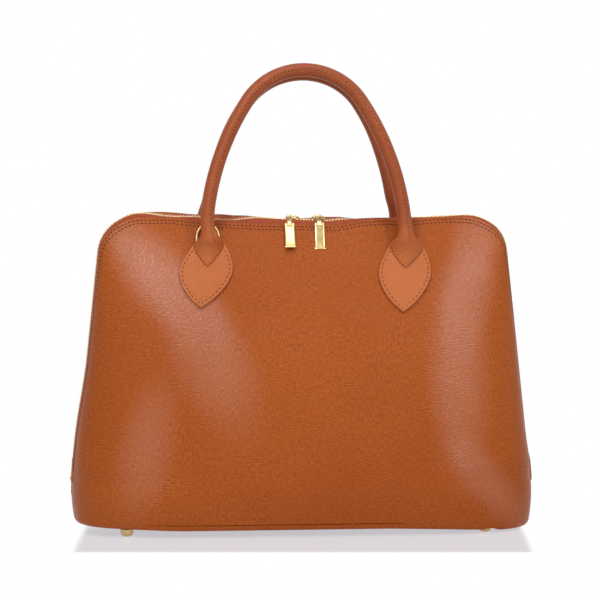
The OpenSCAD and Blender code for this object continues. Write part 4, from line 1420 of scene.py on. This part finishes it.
def sliderHalf(x):
    long, wide = slider["long"], slider["wide"]
    nose = long / 2 - 3.2
    half = wide / 2 + slider["spread"] * smooth((x + long / 2) / (nose + long / 2))
    if x > nose:
        blunt = math.sqrt(max(0.0, 1 - ((x - nose) / 3.25) ** 2))
        half *= blunt * 0.55 + 0.45 * (1 - (x - nose) / 6.4)
    tail = (x + long / 2) / 0.9
    return half * (0.82 + 0.18 * math.sqrt(min(1.0, tail)))


def sliderPlate(name, z, thick, dome):
    columns, rows = 18, 10
    lengthwise, sideways = easedSteps(columns), easedSteps(rows)

    def place(i, j):
        x, share = slider["long"] / 2 * lengthwise[i], sideways[j]
        return Vector((x, sliderHalf(x) * share, z + dome * (1 - share * share) * (1 - (x / 7.2) ** 4))) * mm

    plate = gridPiece(name, columns, rows, place)
    thicken(plate, thick * mm)
    closeUp(plate)
    bevelEdges(plate, slider["rim"] * mm, 1, 50)
    return plate


def makeSliderBody(way):
    top = sliderPlate("plateTop", slider["top"] + slider["plate"], slider["plate"], slider["dome"])
    low = sliderPlate("plateLow", -slider["top"] - slider["plate"] * 0.2, slider["plate"] * 0.8, 0.0)
    post = sweptPiece("post", [Vector((slider["postX"], 0, z)) * mm for z in slider["postZ"]],
                      [roundSection(*slider["post"])] * len(slider["postZ"]))
    lips, lipIn, lipZ = [], slider["lipIn"], slider["lipZ"]
    for side in (-1, 1):
        path = [Vector((x, side * (sliderHalf(x) - lipIn), lipZ)) * mm for x in slider["lipX"]]
        lips.append(sweptPiece("lip", path, [boxSection(*slider["lip"])] * len(path), sideY))
    crown = sweptPiece("crown", [Vector((x, 0, z)) * mm for x, z in slider["arch"]],
                       [roundSection(w, slider["archThick"], 10) for w in slider["archWide"]], sideY)
    body = joined("sliderBody", [top, low, post, crown] + lips)
    if way > 0:
        body.data.transform(Matrix.Rotation(math.pi, 4, "Z"))
    smoothFaces(body, 45)
    return body


# The link hangs from the crown over the zip's edge, and the pull from its lower eye.
pull = {"wide": 4.2, "lean": (4.0, -6.0), "thick": 1.5, "long": 24.0, "head": 1.6, "notch": 2.4, "slot": 2.55,
        "rim": 0.75, "pinZ": -5.5, "pinR": 0.7, "pinX": (-3.4, -1, 1, 3.4), "off": 1.8}
pullTop = bag["zipZ"] + pull["pinZ"] * mm
pullLean = math.atan((belly(pullTop - pull["long"] * mm) - belly(pullTop)) / (pull["long"] * mm))
pullY = -belly(pullTop) / mm - pull["off"] / math.cos(pullLean)


def loopPath(y, z, start, end):
    turns = np.radians(np.linspace(start, end, 12))
    return [Vector((0, y + slider["eyeR"] * math.cos(t), z + slider["eyeR"] * math.sin(t))) for t in turns]


def makeLink():
    path = loopPath(0.0, slider["eyeZ"], -60, 200)
    path += [Vector((0, y, z)) for y, z in (*slider["linkOver"], (pullY - 0.6, -2.6))]
    path += loopPath(pullY, pull["pinZ"], 165, 420)
    wides = np.interp(range(len(path)), *slider["linkWide"])
    sections = [boxSection(wide, slider["linkThick"], slider["linkRim"]) for wide in wides]
    link = sweptPiece("link", [p * mm for p in path], sections)
    smoothFaces(link, 45)
    # Its top comes down with the slider, and its foot stays at the pull.
    reshape(link, lambda p: (p.x, p.y, p.z - slider["lower"] * mm * smooth(p.z / mm / 3 + 0.6)))
    return link


# The pull is a flat tongue with bevelled sides, two horns that hold the link's pin, and a lip at its foot.
def makePull(lean):
    half = (pull["slot"], pull["wide"] - pull["rim"], pull["wide"])
    edges = [-x for x in half[::-1]] + [0.0, *half]
    foot = -pull["long"] + pull["head"]
    levels = [foot + rise for rise in (0, 0.45, 1.1, 1.55, 1.95, 2.5)]
    levels += [-12.0, -pull["notch"] - 0.3, -pull["notch"], -0.6, 0.8, pull["head"]]
    proud = [0.15, 0.62, 0.62, 0.0, -0.3] + [0.0] * 6 + [-0.3]
    flare = [1.04, 1.08, 1.06, 1.01] + [1.0] * 8

    def place(i, j):
        x, z = edges[i], levels[j]
        taper = 0.985 + 0.015 * smooth(-z / 20)
        side = 0.38 if i in (0, len(edges) - 1) else 0.0
        return Vector((x * taper * flare[j], -pull["thick"] / 2 + side - proud[j], z)) * mm

    tongue = gridPiece("pull", len(edges) - 1, len(levels) - 1, place)
    mesh = bmesh.new()
    mesh.from_mesh(tongue.data)
    middles = [(face, face.calc_center_median()) for face in mesh.faces]
    gone = [face for face, p in middles if abs(p.x) < pull["slot"] * mm and p.z > -pull["notch"] * mm]
    bmesh.ops.delete(mesh, geom=gone, context="FACES")
    mesh.to_mesh(tongue.data)
    mesh.free()
    thicken(tongue, pull["thick"] * mm)
    bevelEdges(tongue, 0.14 * mm, 2, 28)
    pin = sweptPiece("pin", [Vector((x, 0, 0)) * mm for x in pull["pinX"]],
                     [roundSection(pull["pinR"], pull["pinR"])] * len(pull["pinX"]), sideY)
    whole = joined("pull", [tongue, pin])
    smoothFaces(whole, 40)
    whole.data.transform(Matrix.Translation((0, pullY * mm, pull["pinZ"] * mm)) @
                         Matrix.Rotation(-pullLean - math.radians(lean), 4, "X"))
    return whole


def makeSliders():
    for n, (side, way) in enumerate((("left", -1), ("right", 1))):
        low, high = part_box(side + "_slider_link")
        middle = (low[0] + high[0]) / 2
        bodyMove, linkMove = slider["bodyMove"][n], slider["linkMove"][n]
        for piece, label, node, body, move, up in (
                (makeSliderBody(way), "Slider", "_slider", "_zip_slider", bodyMove, -slider["lower"]),
                (makeLink(), "Link", "_slider_link", "_link", linkMove, 0.0),
                (makePull(pull["lean"][n]), "Pull", "_pull", "_zip_pull", linkMove, slider["pullUp"])):
            z = bag["zipZ"] + (up - slider["drop"]) * mm
            piece.data.transform(Matrix.Translation((middle + move * mm, 0, z)))
            piece.name = piece.data.name = side + label
            wear(piece, "gold")
            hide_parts(side + node)
            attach(piece, side + body)


# The wire rings at one root of each handle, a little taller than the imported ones, in millimetres.
strapRing = {"x": -81.7, "half": 9.4, "leg": 4.5, "rise": 12.5, "wire": 0.95}


def makeStrapRing():
    half, leg, rise = (strapRing[k] for k in ("half", "leg", "rise"))
    lowZ, lean = keeper["z"], keeper["lean"]
    points = [(-half * 0.55, 0.0), (-half + 0.9, 0.0), (-half + 0.2, 0.3), (-half, 1.1), (-half, leg)]
    turns = [math.pi * n / 24 for n in range(1, 12)]
    points += [(-half * math.cos(turn), leg + rise * math.sin(turn)) for turn in turns]
    path = points + [(0.0, leg + rise)] + [(-x, z) for x, z in points[::-1]]
    spots = [Vector(((strapRing["x"] + x) * mm, keeper["wireY"] + z * math.sin(lean) * mm,
                     lowZ + z * math.cos(lean) * mm)) for x, z in path + path[:1]]
    wire = roundSection(strapRing["wire"], strapRing["wire"], 10)
    across = Vector((0, -math.cos(lean), math.sin(lean)))
    ring = sweptPiece("frontStrapRing", spots, [wire] * len(spots), across)
    smoothFaces(ring, 50)
    for one, half in bothHalves(ring):
        wear(one, "gold")
        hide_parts(half + "_strap_ring")
        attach(one, half + "_ring")


def makeMetal():
    makeSliders()
    makeStrapRing()
    for node in ("foot_front_left", "foot_front_right", "foot_back_left", "foot_back_right", "foot_washers"):
        wear(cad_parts[node], "gold")


for side in (-1, 1):
    makeEndTab(side)
for plate in floors:
    makeFloorPlate(*plate)
print("end tabs and base made")
makeMetal()
print("sliders, rings and feet made")
